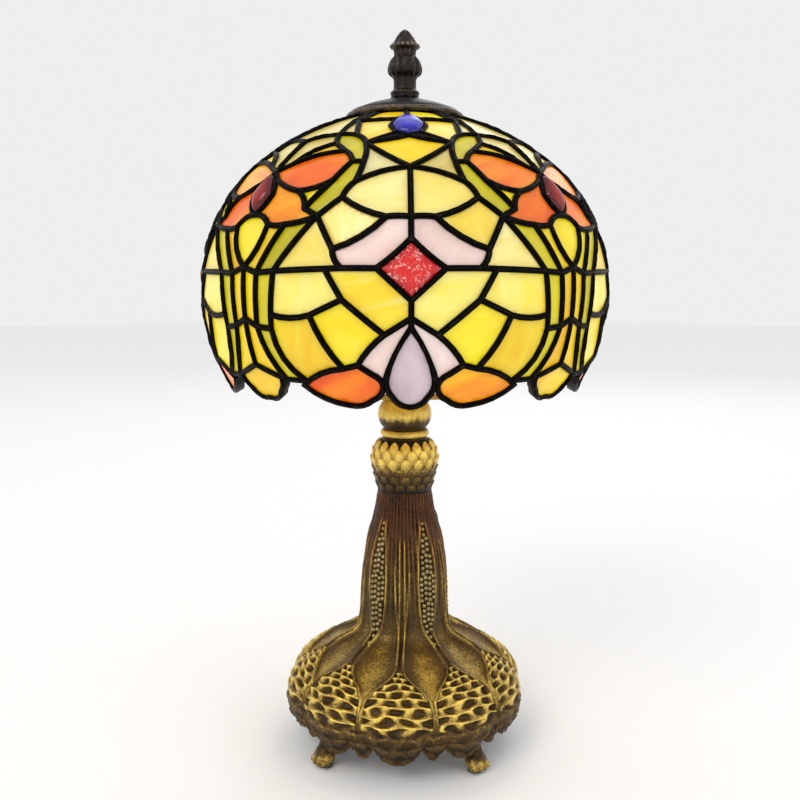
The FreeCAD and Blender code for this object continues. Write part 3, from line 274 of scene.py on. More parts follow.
# The same casting on the column, turning redder brown towards its top.
BROWN_CASTING = cast_metal("zinc_casting_browner_upwards", "#0C0703", "#62491C", "#F8D566", 0.62, 0.9, 0.3, 0.4,
                           browner=("#F0BC92", 86, 122))
# Beads rubbed through the plating to the pale zinc, with dark wax between them.
PALE_CASTING = cast_metal("zinc_casting_bare_beads", "#1A1006", "#8A7440", "#EEE0B4", 0.7, 0.6, 0.26, 0.25)
# Bronze lacquer over cast metal: near black, with a grey-brown shine on the edges.
DARK_BRONZE = cast_metal("zinc_casting_bronze_lacquer", "#0C0806", "#2A1D16", "#8A7A6A", 0.55, 1.1, 0.26, 0.2)
# Tin-lead solder over copper foil with a black patina: soft shine on lumpy, rounded beads.
SOLDER = cast_metal("solder_black_patina", "#050403", "#0E0A07", "#3A3028", 0.9, 1.6, 0.38, 0.3)
# Spun and drawn brass, lightly tarnished: warm, with fine rings.
SPUN_BRASS = drawn_metal("brass_spun_tarnished", "#8A6A2C", "#CDA352", 1.0, 0.3, 0.25)
# Zinc plated mild steel: cool grey, a little cloudy.
PLATED_STEEL = drawn_metal("steel_zinc_plated", "#8D9092", "#B9BBBA", 1.0, 0.38, 0.4)
# Rolled aluminium bulb cap: pale and fairly bright.
CAP_ALUMINIUM = drawn_metal("aluminium_rolled", "#B4B4B2", "#DDDCD8", 1.0, 0.3, 0.3)
# Sand-cast iron: dark grey, coarse.
CAST_IRON = dull_stuff("iron_sand_cast", "#2A2A2A", "#474645", 1.2, 0.75, 0.8)
# Wool felt: dark green, fuzzy.
FELT = dull_stuff("wool_felt_pressed", "#16301A", "#2E4A2C", 0.35, 0.95, 0.9, sheen=0.4)
# Nylon bush: black, faint mould texture.
NYLON = dull_stuff("nylon_moulded", "#0C0C0C", "#1C1C1C", 0.5, 0.5, 0.2)
# Phenolic switch key: black-brown, polished in the mould.
PHENOLIC = dull_stuff("phenolic_moulded", "#0D0906", "#1D140E", 0.9, 0.22, 0.08)
# Porcelain lampholder core: white glaze over a slightly uneven body.
PORCELAIN = dull_stuff("porcelain_glazed", "#E6E2D6", "#F6F3EA", 2.5, 0.12, 0.06, ior=1.55)

# Rolled opalescent sheet, glowing by emission as painted light of the bulb inside, and painted a little
# darker along the foil as painted shade. Creams are milky and warm, yellows clear and strong, the oranges
# carry red wisps, lilac and blush are greyish pinks with vertical veils, and olive is a dense yellow-green.
GLASSES = {
    "cream": opal_glass("opal_glass_cream", ("#FFF2A0", "#FFEB80", "#FBDC50"), "#F8D02C", 0.6, 0.57),
    "pale": opal_glass("opal_glass_pale_cream", ("#F4E6A0", "#ECD97E", "#DCC458"), "#FFF2B4", 0.6, 0.5),
    "yellow": opal_glass("opal_glass_yellow", ("#FFF07A", "#FFE436", "#FCCE16"), "#FFF6A0", 0.65, 0.58),
    "golden": opal_glass("opal_glass_golden_yellow", ("#FFEA00", "#FEDA00", "#F9C200"), "#FFF04C", 0.6, 0.58),
    "amber": opal_glass("opal_glass_amber", ("#FFEA1A", "#FCDC10", "#F4B60C"), "#FFF04C", 0.5, 0.54),
    "orange": opal_glass("opal_glass_orange", ("#FFB806", "#F98402", "#EE5402"), "#E02E06", 0.5, 0.66),
    "rose": opal_glass("opal_glass_rose_orange", ("#FFB410", "#FA9206", "#F06604"), "#DC2C08", 0.55, 0.62),
    "lilac": opal_glass("opal_glass_lilac", ("#E6D2D8", "#D6BEC6", "#C4A8B4"), "#B49AAC", 0.6, 0.48),
    "blush": opal_glass("opal_glass_blush", ("#FAE6E0", "#F6DAD0", "#EACAC2"), "#F4BCA8", 0.5, 0.58),
    "olive": opal_glass("opal_glass_olive_yellow", ("#F6E61A", "#E8D80E", "#CCBE08"), "#FAEE3C", 0.4, 0.48),
}
# Pressed cobalt glass: rich, even blue, painted darker towards the rim as painted shade.
BLUE_JEWEL = jewel_glass("pressed_glass_cobalt", "#0A0468", "#1408B4", "#2418C8", 0.5, 6.0, 0.0)
# Pressed red glass with a stippled face: broken pale flecks where the stipple catches light, as painted
# glints, and a rim painted darker as painted shade.
RED_JEWEL = jewel_glass("pressed_glass_red_stippled", "#9E0C10", "#D81C18", "#FFE2D8", 0.5, 1.9, 0.7)
# Pressed ruby glass: painted nearly black at the rim as painted shade, dark red in the middle.
RUBY_JEWEL = jewel_glass("pressed_glass_ruby", "#3A0206", "#A00A10", "#D83838", 0.35, 8.0, 0.0)


# ---------------------------------------------------------------- meshes
def piece(name, points, faces, material, body, smooth=True, replaces=(), slot=None, **attributes):
    """A finished mesh object from points in metres, riding on a body of the frame."""
    mesh = bpy.data.meshes.new(name)
    mesh.from_pydata([tuple(p) for p in points], [], [tuple(int(i) for i in f) for f in faces])
    for key, values in attributes.items():
        if key == "sheet":
            continue
        layer = mesh.attributes.new(key, "FLOAT", "POINT")
        layer.data.foreach_set("value", np.asarray(values, dtype=np.float32))
    if "sheet" in attributes:
        corners = np.zeros(len(mesh.loops), dtype=np.int32)
        mesh.loops.foreach_get("vertex_index", corners)
        layer = mesh.uv_layers.new(name="sheet")
        layer.data.foreach_set("uv", np.asarray(attributes["sheet"], dtype=np.float32)[corners].ravel())
    mesh.polygons.foreach_set("use_smooth", [smooth] * len(mesh.polygons))
    mesh.materials.append(material)
    made = bpy.data.objects.new(name, mesh)
    bpy.context.scene.collection.objects.link(made)
    close_and_turn_out(mesh)
    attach(made, body)
    if replaces:
        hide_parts(*replaces)
    return made


def close_and_turn_out(mesh):
    """Merges doubled points at seams and poles and points every face outwards."""
    work = bmesh.new()
    work.from_mesh(mesh)
    bmesh.ops.remove_doubles(work, verts=work.verts, dist=1e-7)
    bmesh.ops.recalc_face_normals(work, faces=work.faces)
    work.to_mesh(mesh)
    work.free()
    mesh.update()


def along(section, count, smooth=True):
    """Even points along a section of (radius, height) corners, in mm, on a smooth curve or straight runs."""
    corners = np.array(section, dtype=float)
    if smooth:
        before = np.vstack([2 * corners[0] - corners[1], corners[:-1]])
        after = np.vstack([corners[1:], 2 * corners[-1] - corners[-2]])
        runs = []
        for a, b, c, d in zip(before, corners, after, np.vstack([after[1:], 2 * after[-1] - after[-2]])):
            t = np.linspace(0, 1, 24, endpoint=False)[:, None]
            runs.append(0.5 * (2 * b + (c - a) * t + (2 * a - 5 * b + 4 * c - d) * t ** 2
                               + (3 * b - a - 3 * c + d) * t ** 3))
        corners = np.vstack(runs[:-1] + [corners[-1:]])
    steps = np.concatenate([[0], np.cumsum(np.hypot(*np.diff(corners, axis=0).T))])
    even = np.linspace(0, steps[-1], count)
    return np.column_stack([np.interp(even, steps, corners[:, 0]), np.interp(even, steps, corners[:, 1])])


def turned_relief(name, section, columns, relief, material, body, back=(), ring=True, rows=None, reshape=None,
                  **words):
    """A turned casting with relief: section and back are (radius, height) points in mm, the back is plain.
    relief(angle, radius, height) gives how far the surface stands out in mm and how bright it is: how far it
    is rubbed bright, and in places painted light and painted shade.
    rows picks a part of the section, ring closes the back onto the front, reshape moves all of it."""
    front = np.array(section)
    slope = np.gradient(front, axis=0)
    outward = np.column_stack([slope[:, 1], -slope[:, 0]])
    outward /= np.maximum(np.hypot(outward[:, 0], outward[:, 1]), 1e-9)[:, None]
    if np.sum(outward[:, 0]) < 0:
        outward = -outward
    if rows:
        front, outward = front[rows[0]:rows[1]], outward[rows[0]:rows[1]]
    angle = np.arange(columns) * 360.0 / columns
    spin, at = np.meshgrid(angle, np.arange(len(front)))
    radius, height = front[at, 0], front[at, 1]
    lift, wear = relief(spin, radius, height)
    shrink = np.clip(radius / 1.5, 0, 1)
    radius = np.maximum(radius + outward[at, 0] * lift * shrink, 0)
    height = height + outward[at, 1] * lift * shrink
    if len(back):
        plain = np.array(back, dtype=float)
        radius = np.vstack([radius, np.repeat(plain[:, :1], columns, axis=1)])
        height = np.vstack([height, np.repeat(plain[:, 1:], columns, axis=1)])
        wear = np.vstack([wear, np.full((len(plain), columns), 0.3)])
        spin = np.vstack([spin, np.repeat(angle[None, :], len(plain), axis=0)])
    if reshape:
        radius, height = reshape(spin, radius, height)
    total = radius.shape[0]
    turn = np.radians(spin)
    points = np.column_stack([(radius * np.sin(turn)).ravel(), (-radius * np.cos(turn)).ravel(),
                              height.ravel()]) * MM
    faces = []
    last = total if ring else total - 1
    for row in range(last):
        following = (row + 1) % total
        one = row * columns + np.arange(columns)
        two = following * columns + np.arange(columns)
        faces += np.column_stack([one, np.roll(one, -1), np.roll(two, -1), two]).tolist()
    return piece(name, points, faces, material, body, wear=np.clip(wear, 0, 1).ravel(), **words)


def ease(value, low, high):
    """0 below low, 1 above high, and smooth between."""
    t = np.clip((value - low) / (high - low), 0, 1)
    return t * t * (3 - 2 * t)


def ridge(distance, half_width):
    """Rounded ridge over a line, from its distance."""
    return np.clip(1 - (distance / half_width) ** 2, 0, None)


def staggered(across, down):
    """Cell pattern with every second row set over by half: distance from the nearest middle, and how much
    nearer it is than the next one."""
    best = np.full(across.shape, 9.0)
    second = np.full(across.shape, 9.0)
    row = np.round(down)
    for near_row in (-1, 0, 1):
        level = row + near_row
        shift = np.mod(level, 2) * 0.5
        middle = np.round(across - shift) + shift
        for step in (-1, 0, 1):
            away = np.hypot(across - middle - step, (down - level) * 0.95)
            second = np.minimum(second, np.maximum(best, away))
            best = np.minimum(best, away)
    return best, second - best


def lumps(points, pitch):
    """Slow, repeatable unevenness between -1 and 1 at places in space."""
    p = np.asarray(points) * (2 * math.pi / pitch)
    x, y, z = p[..., 0], p[..., 1], p[..., 2]
    return (np.sin(x + 1.3 * np.sin(0.7 * z + 1)) + np.sin(1.1 * y + 0.9 * np.sin(x * 0.8 + 2))
            + np.sin(0.9 * z + 1.2 * np.sin(y * 0.6 + 4))) / 3


# ---------------------------------------------------------------- shade
def dome(way, depth=0.0):
    """Distance from the dome's middle to its surface along unit vectors, at a depth under the lattice."""
    out, up = np.hypot(way[:, 0], way[:, 1]), way[:, 2]
    depth = np.asarray(depth)
    skirt, shoulder, crown = SKIRT_ARC - depth, SHOULDER_ARC - depth, CROWN_ARC - depth
    low = out * SKIRT_CENTRE + np.sqrt(skirt ** 2 - SKIRT_CENTRE ** 2 + (out * SKIRT_CENTRE) ** 2)
    middle = out * SHOULDER_CENTRE + np.sqrt(shoulder ** 2 - SHOULDER_CENTRE ** 2
                                             + (out * SHOULDER_CENTRE) ** 2)
    top = up * CROWN_CENTRE + np.sqrt(crown ** 2 - CROWN_CENTRE ** 2 + (up * CROWN_CENTRE) ** 2)
    return np.where(up < 0, low, np.where(middle * up < shoulder * math.sin(CROWN_TURN), middle, top))


BARED_OF = {"jewel_blue_drops": 1.15 * MM, "jewel_ruby_ovals": 0.7 * MM}


def pane_outlines(name):
    """For every pane of a node: its own flat axes, and its edge's corners in them, seen from outside."""
    work = bmesh.new()
    work.from_mesh(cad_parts[name].data)
    bmesh.ops.remove_doubles(work, verts=work.verts, dist=2e-6)
    inner = set()
    for face in work.faces:
        way = (face.calc_center_median() - Vector(DOME_MIDDLE)).normalized()
        if face.normal.dot(way) < -0.6:
            inner.add(face)
    following = {}
    for face in inner:
        for loop in face.loops:
            edge = loop.edge
            if sum(other in inner for other in edge.link_faces) == 1:
                following[loop.vert] = loop.link_loop_next.vert
    outlines = []
    while following:
        start = min(following, key=lambda v: (round(v.co.z, 6), round(v.co.x, 6), round(v.co.y, 6)))
        chain, at = [], start
        while at in following:
            chain.append(at)
            at = following.pop(at)
        ways = np.array([tuple(v.co) for v in chain]) - DOME_MIDDLE
        ways /= np.linalg.norm(ways, axis=1)[:, None]
        centre = ways.mean(axis=0)
        centre /= np.linalg.norm(centre)
        right = np.cross([0, 0, 1.0], centre)
        right /= np.linalg.norm(right)
        upward = np.cross(centre, right)
        reach = float(dome(centre[None, :])[0])
        flat = np.column_stack([ways @ right, ways @ upward]) * reach / (ways @ centre)[:, None]
        area = np.sum(flat[:, 0] * np.roll(flat[:, 1], -1) - np.roll(flat[:, 0], -1) * flat[:, 1])
        if area < 0:
            flat = flat[::-1]
        shown = BARED_OF.get(name, BARED)
        outlines.append({"axes": (centre * reach, right, upward),
                         "corners": grown_out(drop_inline(flat), shown),
                         "bared": shown, "node": name})
    work.free()
    outlines.sort(key=lambda o: (round(float(np.arctan2(o["axes"][0][0], -o["axes"][0][1])), 4),
                                 round(float(o["axes"][0][2]), 5)))
    return outlines


def grown_out(corners, reach):
    """An outline moved outwards by one reach; sharp corners are kept from running away."""
    before = corners - np.roll(corners, 1, axis=0)
    before /= np.linalg.norm(before, axis=1)[:, None]
    after = np.roll(before, -1, axis=0)
    normals = [np.column_stack([d[:, 1], -d[:, 0]]) for d in (before, after)]
    shift = (normals[0] + normals[1]) / (1 + np.sum(normals[0] * normals[1], axis=1))[:, None] * reach
    length = np.linalg.norm(shift, axis=1)
    return corners + shift * np.minimum(1, 2.0 * reach / length)[:, None]


def drop_inline(points):
    """An outline without the points that lie on its straight sides."""
    kept = points
    while True:
        before, after = kept - np.roll(kept, 1, axis=0), np.roll(kept, -1, axis=0) - kept
        turn = np.abs(before[:, 0] * after[:, 1] - before[:, 1] * after[:, 0])
        turn /= np.linalg.norm(before, axis=1) * np.linalg.norm(after, axis=1)
        if turn.min() > 0.012 or len(kept) < 4:
            return kept
        kept = np.delete(kept, int(np.argmin(turn)), axis=0)


def on_dome(axes, flat, lift):
    """Points in space for flat points of a pane, at a lift over the lattice's top."""
    centre, right, upward = axes
    ways = centre + flat[:, :1] * right + flat[:, 1:] * upward
    ways /= np.linalg.norm(ways, axis=1)[:, None]
    return ways, DOME_MIDDLE + ways * (dome(ways, -np.asarray(lift)))[:, None]


def edges_of(pane, step):
    """Fine points along a pane's edge and along the middle of the lead round it, in step with each other."""
    corners = pane["corners"]
    before = corners - np.roll(corners, 1, axis=0)
    after = np.roll(before, -1, axis=0)
    before /= np.linalg.norm(before, axis=1)[:, None]
    after /= np.linalg.norm(after, axis=1)[:, None]
    normals = [np.column_stack([d[:, 1], -d[:, 0]]) for d in (before, after)]
    dot = np.sum(normals[0] * normals[1], axis=1)
    mitre = (normals[0] + normals[1]) / (1 + dot)[:, None] * FOIL
    length = np.linalg.norm(mitre, axis=1)
    mitre *= np.minimum(1, 3.4 * FOIL / length)[:, None]
    middles = corners + mitre * (1 - pane["bared"] / FOIL)
    edge, seam, sharp = [], [], []
    for k in range(len(corners)):
        j = (k + 1) % len(corners)
        count = max(1, int(round(np.linalg.norm(corners[j] - corners[k]) / step)))
        t = np.arange(count)[:, None] / count
        edge.append(corners[k] * (1 - t) + corners[j] * t)
        seam.append(middles[k] * (1 - t) + middles[j] * t)
        sharp += [bool(dot[k] < 0.9)] + [False] * (count - 1)
    edge, seam, sharp = np.vstack(edge), np.vstack(seam), np.array(sharp)
    for _ in range(6):
        beside = np.roll(seam, 1, axis=0) + np.roll(seam, -1, axis=0)
        seam = np.where(sharp[:, None], seam, seam / 2 + beside / 4)
    for _ in range(5):
        edge = edge / 2 + (np.roll(edge, 1, axis=0) + np.roll(edge, -1, axis=0)) / 4
    return edge, seam


def far_from(points, tree, reach):
    """Which points have no other pane's seam within reach."""
    return np.array([tree.find(Vector(p))[2] > reach for p in points])


def solder_round(pane, seam_tree, store, outside=True, step=0.75 * MM, across=6):
    """Half of the solder bead round one pane, from the glass up to the middle of the lead."""
    edge, seam = edges_of(pane, step)
    count = len(edge)
    bulge = SOLDER_CREST if outside else LINING_CREST
    _, top = on_dome(pane["axes"], seam, np.zeros(count))
    inward = edge - seam
    inward /= np.maximum(np.linalg.norm(inward, axis=1), 1e-9)[:, None]
    spread = (-0.12 + 0.2 * lumps(top, 9 * MM)) * MM
    edge = edge + inward * spread[:, None]
    crest = bulge * (1 + 0.3 * lumps(top, 7 * MM) + 0.18 * lumps(top[:, ::-1], 3.1 * MM))
    rows = []
    for share in np.linspace(0, 1, across):
        flat = edge * (1 - share) + (seam - inward * 0.12 * MM) * share
        rise = math.sqrt(max(0.0, 1 - (1 - share) ** 2))
        if outside:
            lift = -SOLDER_TUCK + (SOLDER_TUCK + crest) * rise
        else:
            lift = -LATTICE_THICKNESS + LINING_TUCK - (LINING_TUCK + crest) * rise
        rows.append(on_dome(pane["axes"], flat, lift)[1])
    add_strip(store, rows, np.ones(count, dtype=bool), not outside)
    free = far_from(top, seam_tree, 1.1 * MM) & (top[:, 2] < DOME_LEVEL + 70 * MM)
    if outside and free.any():
        rows = []
        for share in np.linspace(0, 1, 5):
            flat = seam - inward * (FOIL * EDGE_REACH * math.sin(share * math.pi / 2))
            lift = (SOLDER_TUCK + crest) * math.cos(share * math.pi / 2) - SOLDER_TUCK
            rows.append(on_dome(pane["axes"], flat, lift)[1])
        rows.append(on_dome(pane["axes"], seam - inward * FOIL * EDGE_REACH, np.full(count, -3.1 * MM))[1])
        rows.append(on_dome(pane["axes"], seam - inward * FOIL * 0.4, np.full(count, -4.6 * MM))[1])
        rows.append(on_dome(pane["axes"], seam, np.full(count, -4.7 * MM))[1])
        add_strip(store, rows, free, False)


def add_strip(store, rows, keep, flip):
    """Adds rows of points, closed into a ring, as faces wherever both ends are kept."""
    count = len(rows[0])
    first = sum(len(p) for p in store["points"])
    store["points"] += rows
    for r in range(len(rows) - 1):
        for i in range(count):
            j = (i + 1) % count
            if keep[i] and keep[j]:
                quad = [first + r * count + i, first + r * count + j, first + (r + 1) * count + j,
                        first + (r + 1) * count + i]
                store["faces"].append(quad if flip else quad[::-1])


def inside_depth(points, corners):
    """Distance of flat points from a pane's edge."""
    ends = np.roll(corners, -1, axis=0)
    side = ends - corners
    least = np.full(len(points), 1.0)
    for start, run in zip(corners, side):
        t = np.clip(((points - start) @ run) / (run @ run), 0, 1)
        least = np.minimum(least, np.linalg.norm(points - start - t[:, None] * run, axis=1))
    return least


def inside(points, corners):
    """Which flat points lie inside an outline."""
    crossed = np.zeros(len(points), dtype=bool)
    for (x0, y0), (x1, y1) in zip(corners, np.roll(corners, -1, axis=0)):
        spans = (points[:, 1] < y0) != (points[:, 1] < y1)
        with np.errstate(divide="ignore", invalid="ignore"):
            crossed ^= spans & (points[:, 0] < (x1 - x0) * (points[:, 1] - y0) / (y1 - y0) + x0)
    return crossed


def fill(pane, spacing):
    """Triangles over a pane's outline, on an even grid of points: flat points and faces."""
    edge = []
    corners = pane["corners"]
    for start, end in zip(corners, np.roll(corners, -1, axis=0)):
        count = max(1, int(round(np.linalg.norm(end - start) / spacing)))
        edge += [start + (end - start) * k / count for k in range(count)]
    edge = np.array(edge)
    low, high = corners.min(axis=0), corners.max(axis=0)
    xs = np.arange(low[0], high[0], spacing)
    ys = np.arange(low[1], high[1], spacing * 0.87)
    grid = np.array([(x + (k % 2) * spacing / 2, y) for k, y in enumerate(ys) for x in xs])
    grid = grid[inside(grid, corners)]
    grid = grid[inside_depth(grid, corners) > spacing * 0.55] if len(grid) else grid
    every = np.vstack([edge, grid]) if len(grid) else edge
    points, _, faces, *_ = delaunay_2d_cdt([Vector(p) for p in every], [], [list(range(len(edge)))], 1, 1e-7)
    flat = np.array([tuple(p) for p in points])
    return flat, [tuple(f) for f in faces]


def glass_piece(name, panes, material, profile=None, spacing=1.7 * MM, flatness=0.65, streak_turn=0.0):
    """All panes of one kind as one piece: flattened, rippled sheet, or domed jewels with a profile."""
    chance = random.Random(name)
    points, faces, rims, sheets, numbers = [], [], [], [], []
    for pane in panes:
        flat, triangles = fill(pane, spacing)
        depth = inside_depth(flat, pane["corners"])
        ways, surface = on_dome(pane["axes"], flat, np.full(len(flat), -GLASS_SINK))
        reach = np.linalg.norm(surface - DOME_MIDDLE, axis=1)
        if profile:
            outer_reach = reach + profile(depth)
        else:
            rim_points = surface[depth < 0.1 * MM]
            middle = rim_points.mean(axis=0)
            across = np.linalg.svd(rim_points - middle)[2][2]
            plane = ((middle - DOME_MIDDLE) @ across) / (ways @ across)
            flattened = np.clip(plane - reach, -1.3 * MM, 0.35 * MM) * flatness
            outer_reach = reach + flattened * np.clip(depth / (2 * MM), 0.15, 1) + 0.1 * MM * lumps(surface,
                                                                                                    11 * MM)
        outer = DOME_MIDDLE + ways * outer_reach[:, None]
        inner = DOME_MIDDLE + ways * (reach - GLASS_THICKNESS)[:, None]
        first, count = sum(len(p) for p in points), len(flat)
        points += [outer, inner]
        faces += [(first + a, first + b, first + c) for a, b, c in triangles]
        faces += [(first + count + c, first + count + b, first + count + a) for a, b, c in triangles]
        seen = {}
        for a, b, c in triangles:
            for one, two in ((a, b), (b, c), (c, a)):
                seen[(one, two)] = True
        for one, two in seen:
            if (two, one) not in seen:
                faces.append((first + two, first + one, first + count + one, first + count + two))
        # rim: 0 at a pane's edge, 1 from 4.5 mm inside; the glass materials paint shade with it along the
        # foil and round the jewels' rims
        rims += [np.clip(depth / (4.5 * MM), 0, 1)] * 2
        turn = math.radians(streak_turn + chance.uniform(-25, 25))
        shift = np.array([chance.uniform(0, 1), chance.uniform(0, 1)])
        turned = flat @ np.array([[math.cos(turn), -math.sin(turn)],
                                  [math.sin(turn), math.cos(turn)]]) + shift
        sheets += [turned] * 2
        numbers += [np.full(2 * count, chance.random())]
    return piece(name.replace("glass_", "pane_") if not profile else name.replace("jewel_", "pressed_"),
                 np.vstack(points), faces, material, "shade", replaces=(name,), rim=np.concatenate(rims),
                 pane=np.concatenate(numbers), sheet=np.vstack(sheets))


def cabochon(height, shoulder):
    """Rounded jewel: rises to its full height one shoulder's width in from the edge."""
    return lambda depth: height * np.sqrt(np.clip(1 - (1 - np.clip(depth / shoulder, 0, 1)) ** 2, 0, 1))


GLASS_OF = {
    "glass_crown_strips": ("golden", 80), "glass_crown_flanks": ("yellow", 60),
    "glass_crown_corners": ("pale", 40),
    "glass_small_triangles": ("pale", 30), "glass_lens_halves": ("cream", 0),
    "glass_cream_quads": ("cream", 70),
    "glass_lilac_wings": ("blush", 30), "glass_big_triangles": ("cream", 20),
    "glass_side_blocks": ("yellow", 90),
    "glass_sunrays": ("yellow", 0), "glass_kites": ("golden", 20), "glass_outer_blocks": ("amber", 60),
    "glass_lilac_leaves": ("blush", 60), "glass_orange_drops": ("orange", 20), "glass_ribbons": ("olive", 60),
    "glass_crescents": ("pale", 0), "glass_slivers": ("yellow", 0), "glass_orange_wings": ("rose", 20),
    "glass_orange_bells": ("rose", 40), "glass_amber_trims": ("amber", 60), "glass_staves": ("golden", 90),
    "glass_shields": ("golden", 0), "glass_teardrops": ("lilac", 90), "glass_crown_fans": ("pale", 60),
    "glass_amber_hearts": ("amber", 90), "glass_tail_petals": ("golden", 60),
}
JEWEL_OF = {
    "jewel_blue_drops": (BLUE_JEWEL, cabochon(3.3 * MM, 5.4 * MM)),
    "jewel_red_squares": (RED_JEWEL, cabochon(2.45 * MM, 4.5 * MM)),
    "jewel_ruby_ovals": (RUBY_JEWEL, cabochon(3.6 * MM, 5.0 * MM)),
}


def make_shade():
    """Every pane, every jewel, and the solder between them in four quarters."""
    panes = {name: pane_outlines(name) for name in list(GLASS_OF) + list(JEWEL_OF)}
    for name, (glass, turn) in GLASS_OF.items():
        glass_piece(name, panes[name], GLASSES[glass], streak_turn=turn)
    for name, (material, profile) in JEWEL_OF.items():
        glass_piece(name, panes[name], material, profile=profile, spacing=0.9 * MM)
    every = [pane for kind in panes.values() for pane in kind]
    seams = []
    for pane in every:
        _, seam = edges_of(pane, 1.0 * MM)
        seams.append(on_dome(pane["axes"], seam, np.zeros(len(seam)))[1])
    for quarter in range(QUARTERS):
        store = {"points": [], "faces": []}
        lining = {"points": [], "faces": []}
        for number, pane in enumerate(every):
            angle = math.degrees(math.atan2(pane["axes"][0][0], -pane["axes"][0][1])) % 360
            if int(angle * QUARTERS / 360) % QUARTERS != quarter:
                continue
            nearby = [p for k, s in enumerate(seams) if k != number
                      and np.linalg.norm(s.mean(axis=0) - seams[number].mean(axis=0)) < NEIGHBOUR_REACH
                      for p in s]
            tree = kdtree.KDTree(len(nearby))
            for k, p in enumerate(nearby):
                tree.insert(Vector(p), k)
            tree.balance()
            solder_round(pane, tree, store)
            solder_round(pane, tree, lining, outside=False, step=1.5 * MM, across=4)
        for label, made in (("solder_beads", store), ("solder_lining", lining)):
            points = np.vstack(made["points"])
            piece("%s_%d" % (label, quarter + 1), points, made["faces"], SOLDER, "shade", slot="dark_solder",
                  wear=np.clip(0.35 + 0.3 * lumps(points, 5 * MM), 0, 1))


# ---------------------------------------------------------------- geometry trees
def new_tree(name, **sizes):
    """A geometry tree with a geometry input, named sizes and a material."""
    tree = bpy.data.node_groups.new(name, "GeometryNodeTree")
    tree.interface.new_socket("Geometry", in_out="INPUT", socket_type="NodeSocketGeometry")
    tree.interface.new_socket("Geometry", in_out="OUTPUT", socket_type="NodeSocketGeometry")
    for label, value in sizes.items():
        tree.interface.new_socket(label, in_out="INPUT", socket_type="NodeSocketFloat").default_value = value
    tree.interface.new_socket("Finish", in_out="INPUT", socket_type="NodeSocketMaterial")
    return tree, tree.nodes.new("NodeGroupInput"), tree.nodes.new("NodeGroupOutput")


def bead_tree():
    """A small round bead on every point, as large as the point's size says."""
    tree, given, result = new_tree("beads_on_points", Size=1.0, Wear=0.8)
    bead = node(tree, "GeometryNodeMeshUVSphere", {"Segments": 10, "Rings": 7, "Radius": 1.0})
    size = node(tree, "GeometryNodeInputNamedAttribute", {"Name": "size"}, data_type="FLOAT")
    scaled = node(tree, "ShaderNodeMath", {0: size.outputs[0], 1: given.outputs["Size"]},
                  operation="MULTIPLY")
    spread = node(tree, "GeometryNodeInstanceOnPoints",
                  {"Points": given.outputs["Geometry"], "Instance": bead.outputs["Mesh"],
                   "Scale": scaled.outputs[0]})
    real = node(tree, "GeometryNodeRealizeInstances", {"Geometry": spread.outputs[0]})
    smooth = node(tree, "GeometryNodeSetShadeSmooth", {"Geometry": real.outputs[0]})
    wear = node(tree, "GeometryNodeStoreNamedAttribute", {"Geometry": smooth.outputs[0], "Name": "wear",
                                                          "Value": given.outputs["Wear"]})
    dressed = node(tree, "GeometryNodeSetMaterial", {"Geometry": wear.outputs[0],
                                                     "Material": given.outputs["Finish"]})
    tree.links.new(dressed.outputs[0], result.inputs[0])
    return tree


def rim_tree():
    """A round wire bent into a ring, for a rolled sheet edge."""
    tree, given, result = new_tree("rolled_rim", Radius=0.03, Wire=0.001, Level=0.3, Wear=0.6)
    ring = node(tree, "GeometryNodeCurvePrimitiveCircle",
                {"Resolution": 160, "Radius": given.outputs["Radius"]})
    wire = node(tree, "GeometryNodeCurvePrimitiveCircle",
                {"Resolution": 20, "Radius": given.outputs["Wire"]})
    tube = node(tree, "GeometryNodeCurveToMesh",
                {"Curve": ring.outputs[0], "Profile Curve": wire.outputs[0]})
    high = node(tree, "ShaderNodeCombineXYZ", {"Z": given.outputs["Level"]})
    lifted = node(tree, "GeometryNodeTransform",
                  {"Geometry": tube.outputs[0], "Translation": high.outputs[0]})
    smooth = node(tree, "GeometryNodeSetShadeSmooth", {"Geometry": lifted.outputs[0]})
    wear = node(tree, "GeometryNodeStoreNamedAttribute", {"Geometry": smooth.outputs[0], "Name": "wear",
                                                          "Value": given.outputs["Wear"]})
    real = node(tree, "GeometryNodeRealizeInstances", {"Geometry": wear.outputs[0]})
    dressed = node(tree, "GeometryNodeSetMaterial", {"Geometry": real.outputs[0],
                                                     "Material": given.outputs["Finish"]})
    tree.links.new(dressed.outputs[0], result.inputs[0])
    return tree


def smoothing_tree():
    """Joins a turned part's loose facets and shades it round, leaving its real edges crisp."""
    tree, given, result = new_tree("turned_surface", Crease=0.6)
    joined = node(tree, "GeometryNodeMergeByDistance", {"Geometry": given.outputs["Geometry"],
                                                        "Distance": 0.000002})
    bend = node(tree, "GeometryNodeInputMeshEdgeAngle")
    crisp = node(tree, "FunctionNodeCompare", {"A": bend.outputs["Unsigned Angle"],
                                               "B": given.outputs["Crease"]}, operation="GREATER_THAN")
    round_ = node(tree, "GeometryNodeSetShadeSmooth", {"Geometry": joined.outputs[0]}, domain="FACE")
    edged = node(tree, "GeometryNodeSetShadeSmooth", {"Geometry": round_.outputs[0],
                                                      "Selection": crisp.outputs[0],
                                                      "Shade Smooth": False}, domain="EDGE")
    tree.links.new(edged.outputs[0], result.inputs[0])
    return tree


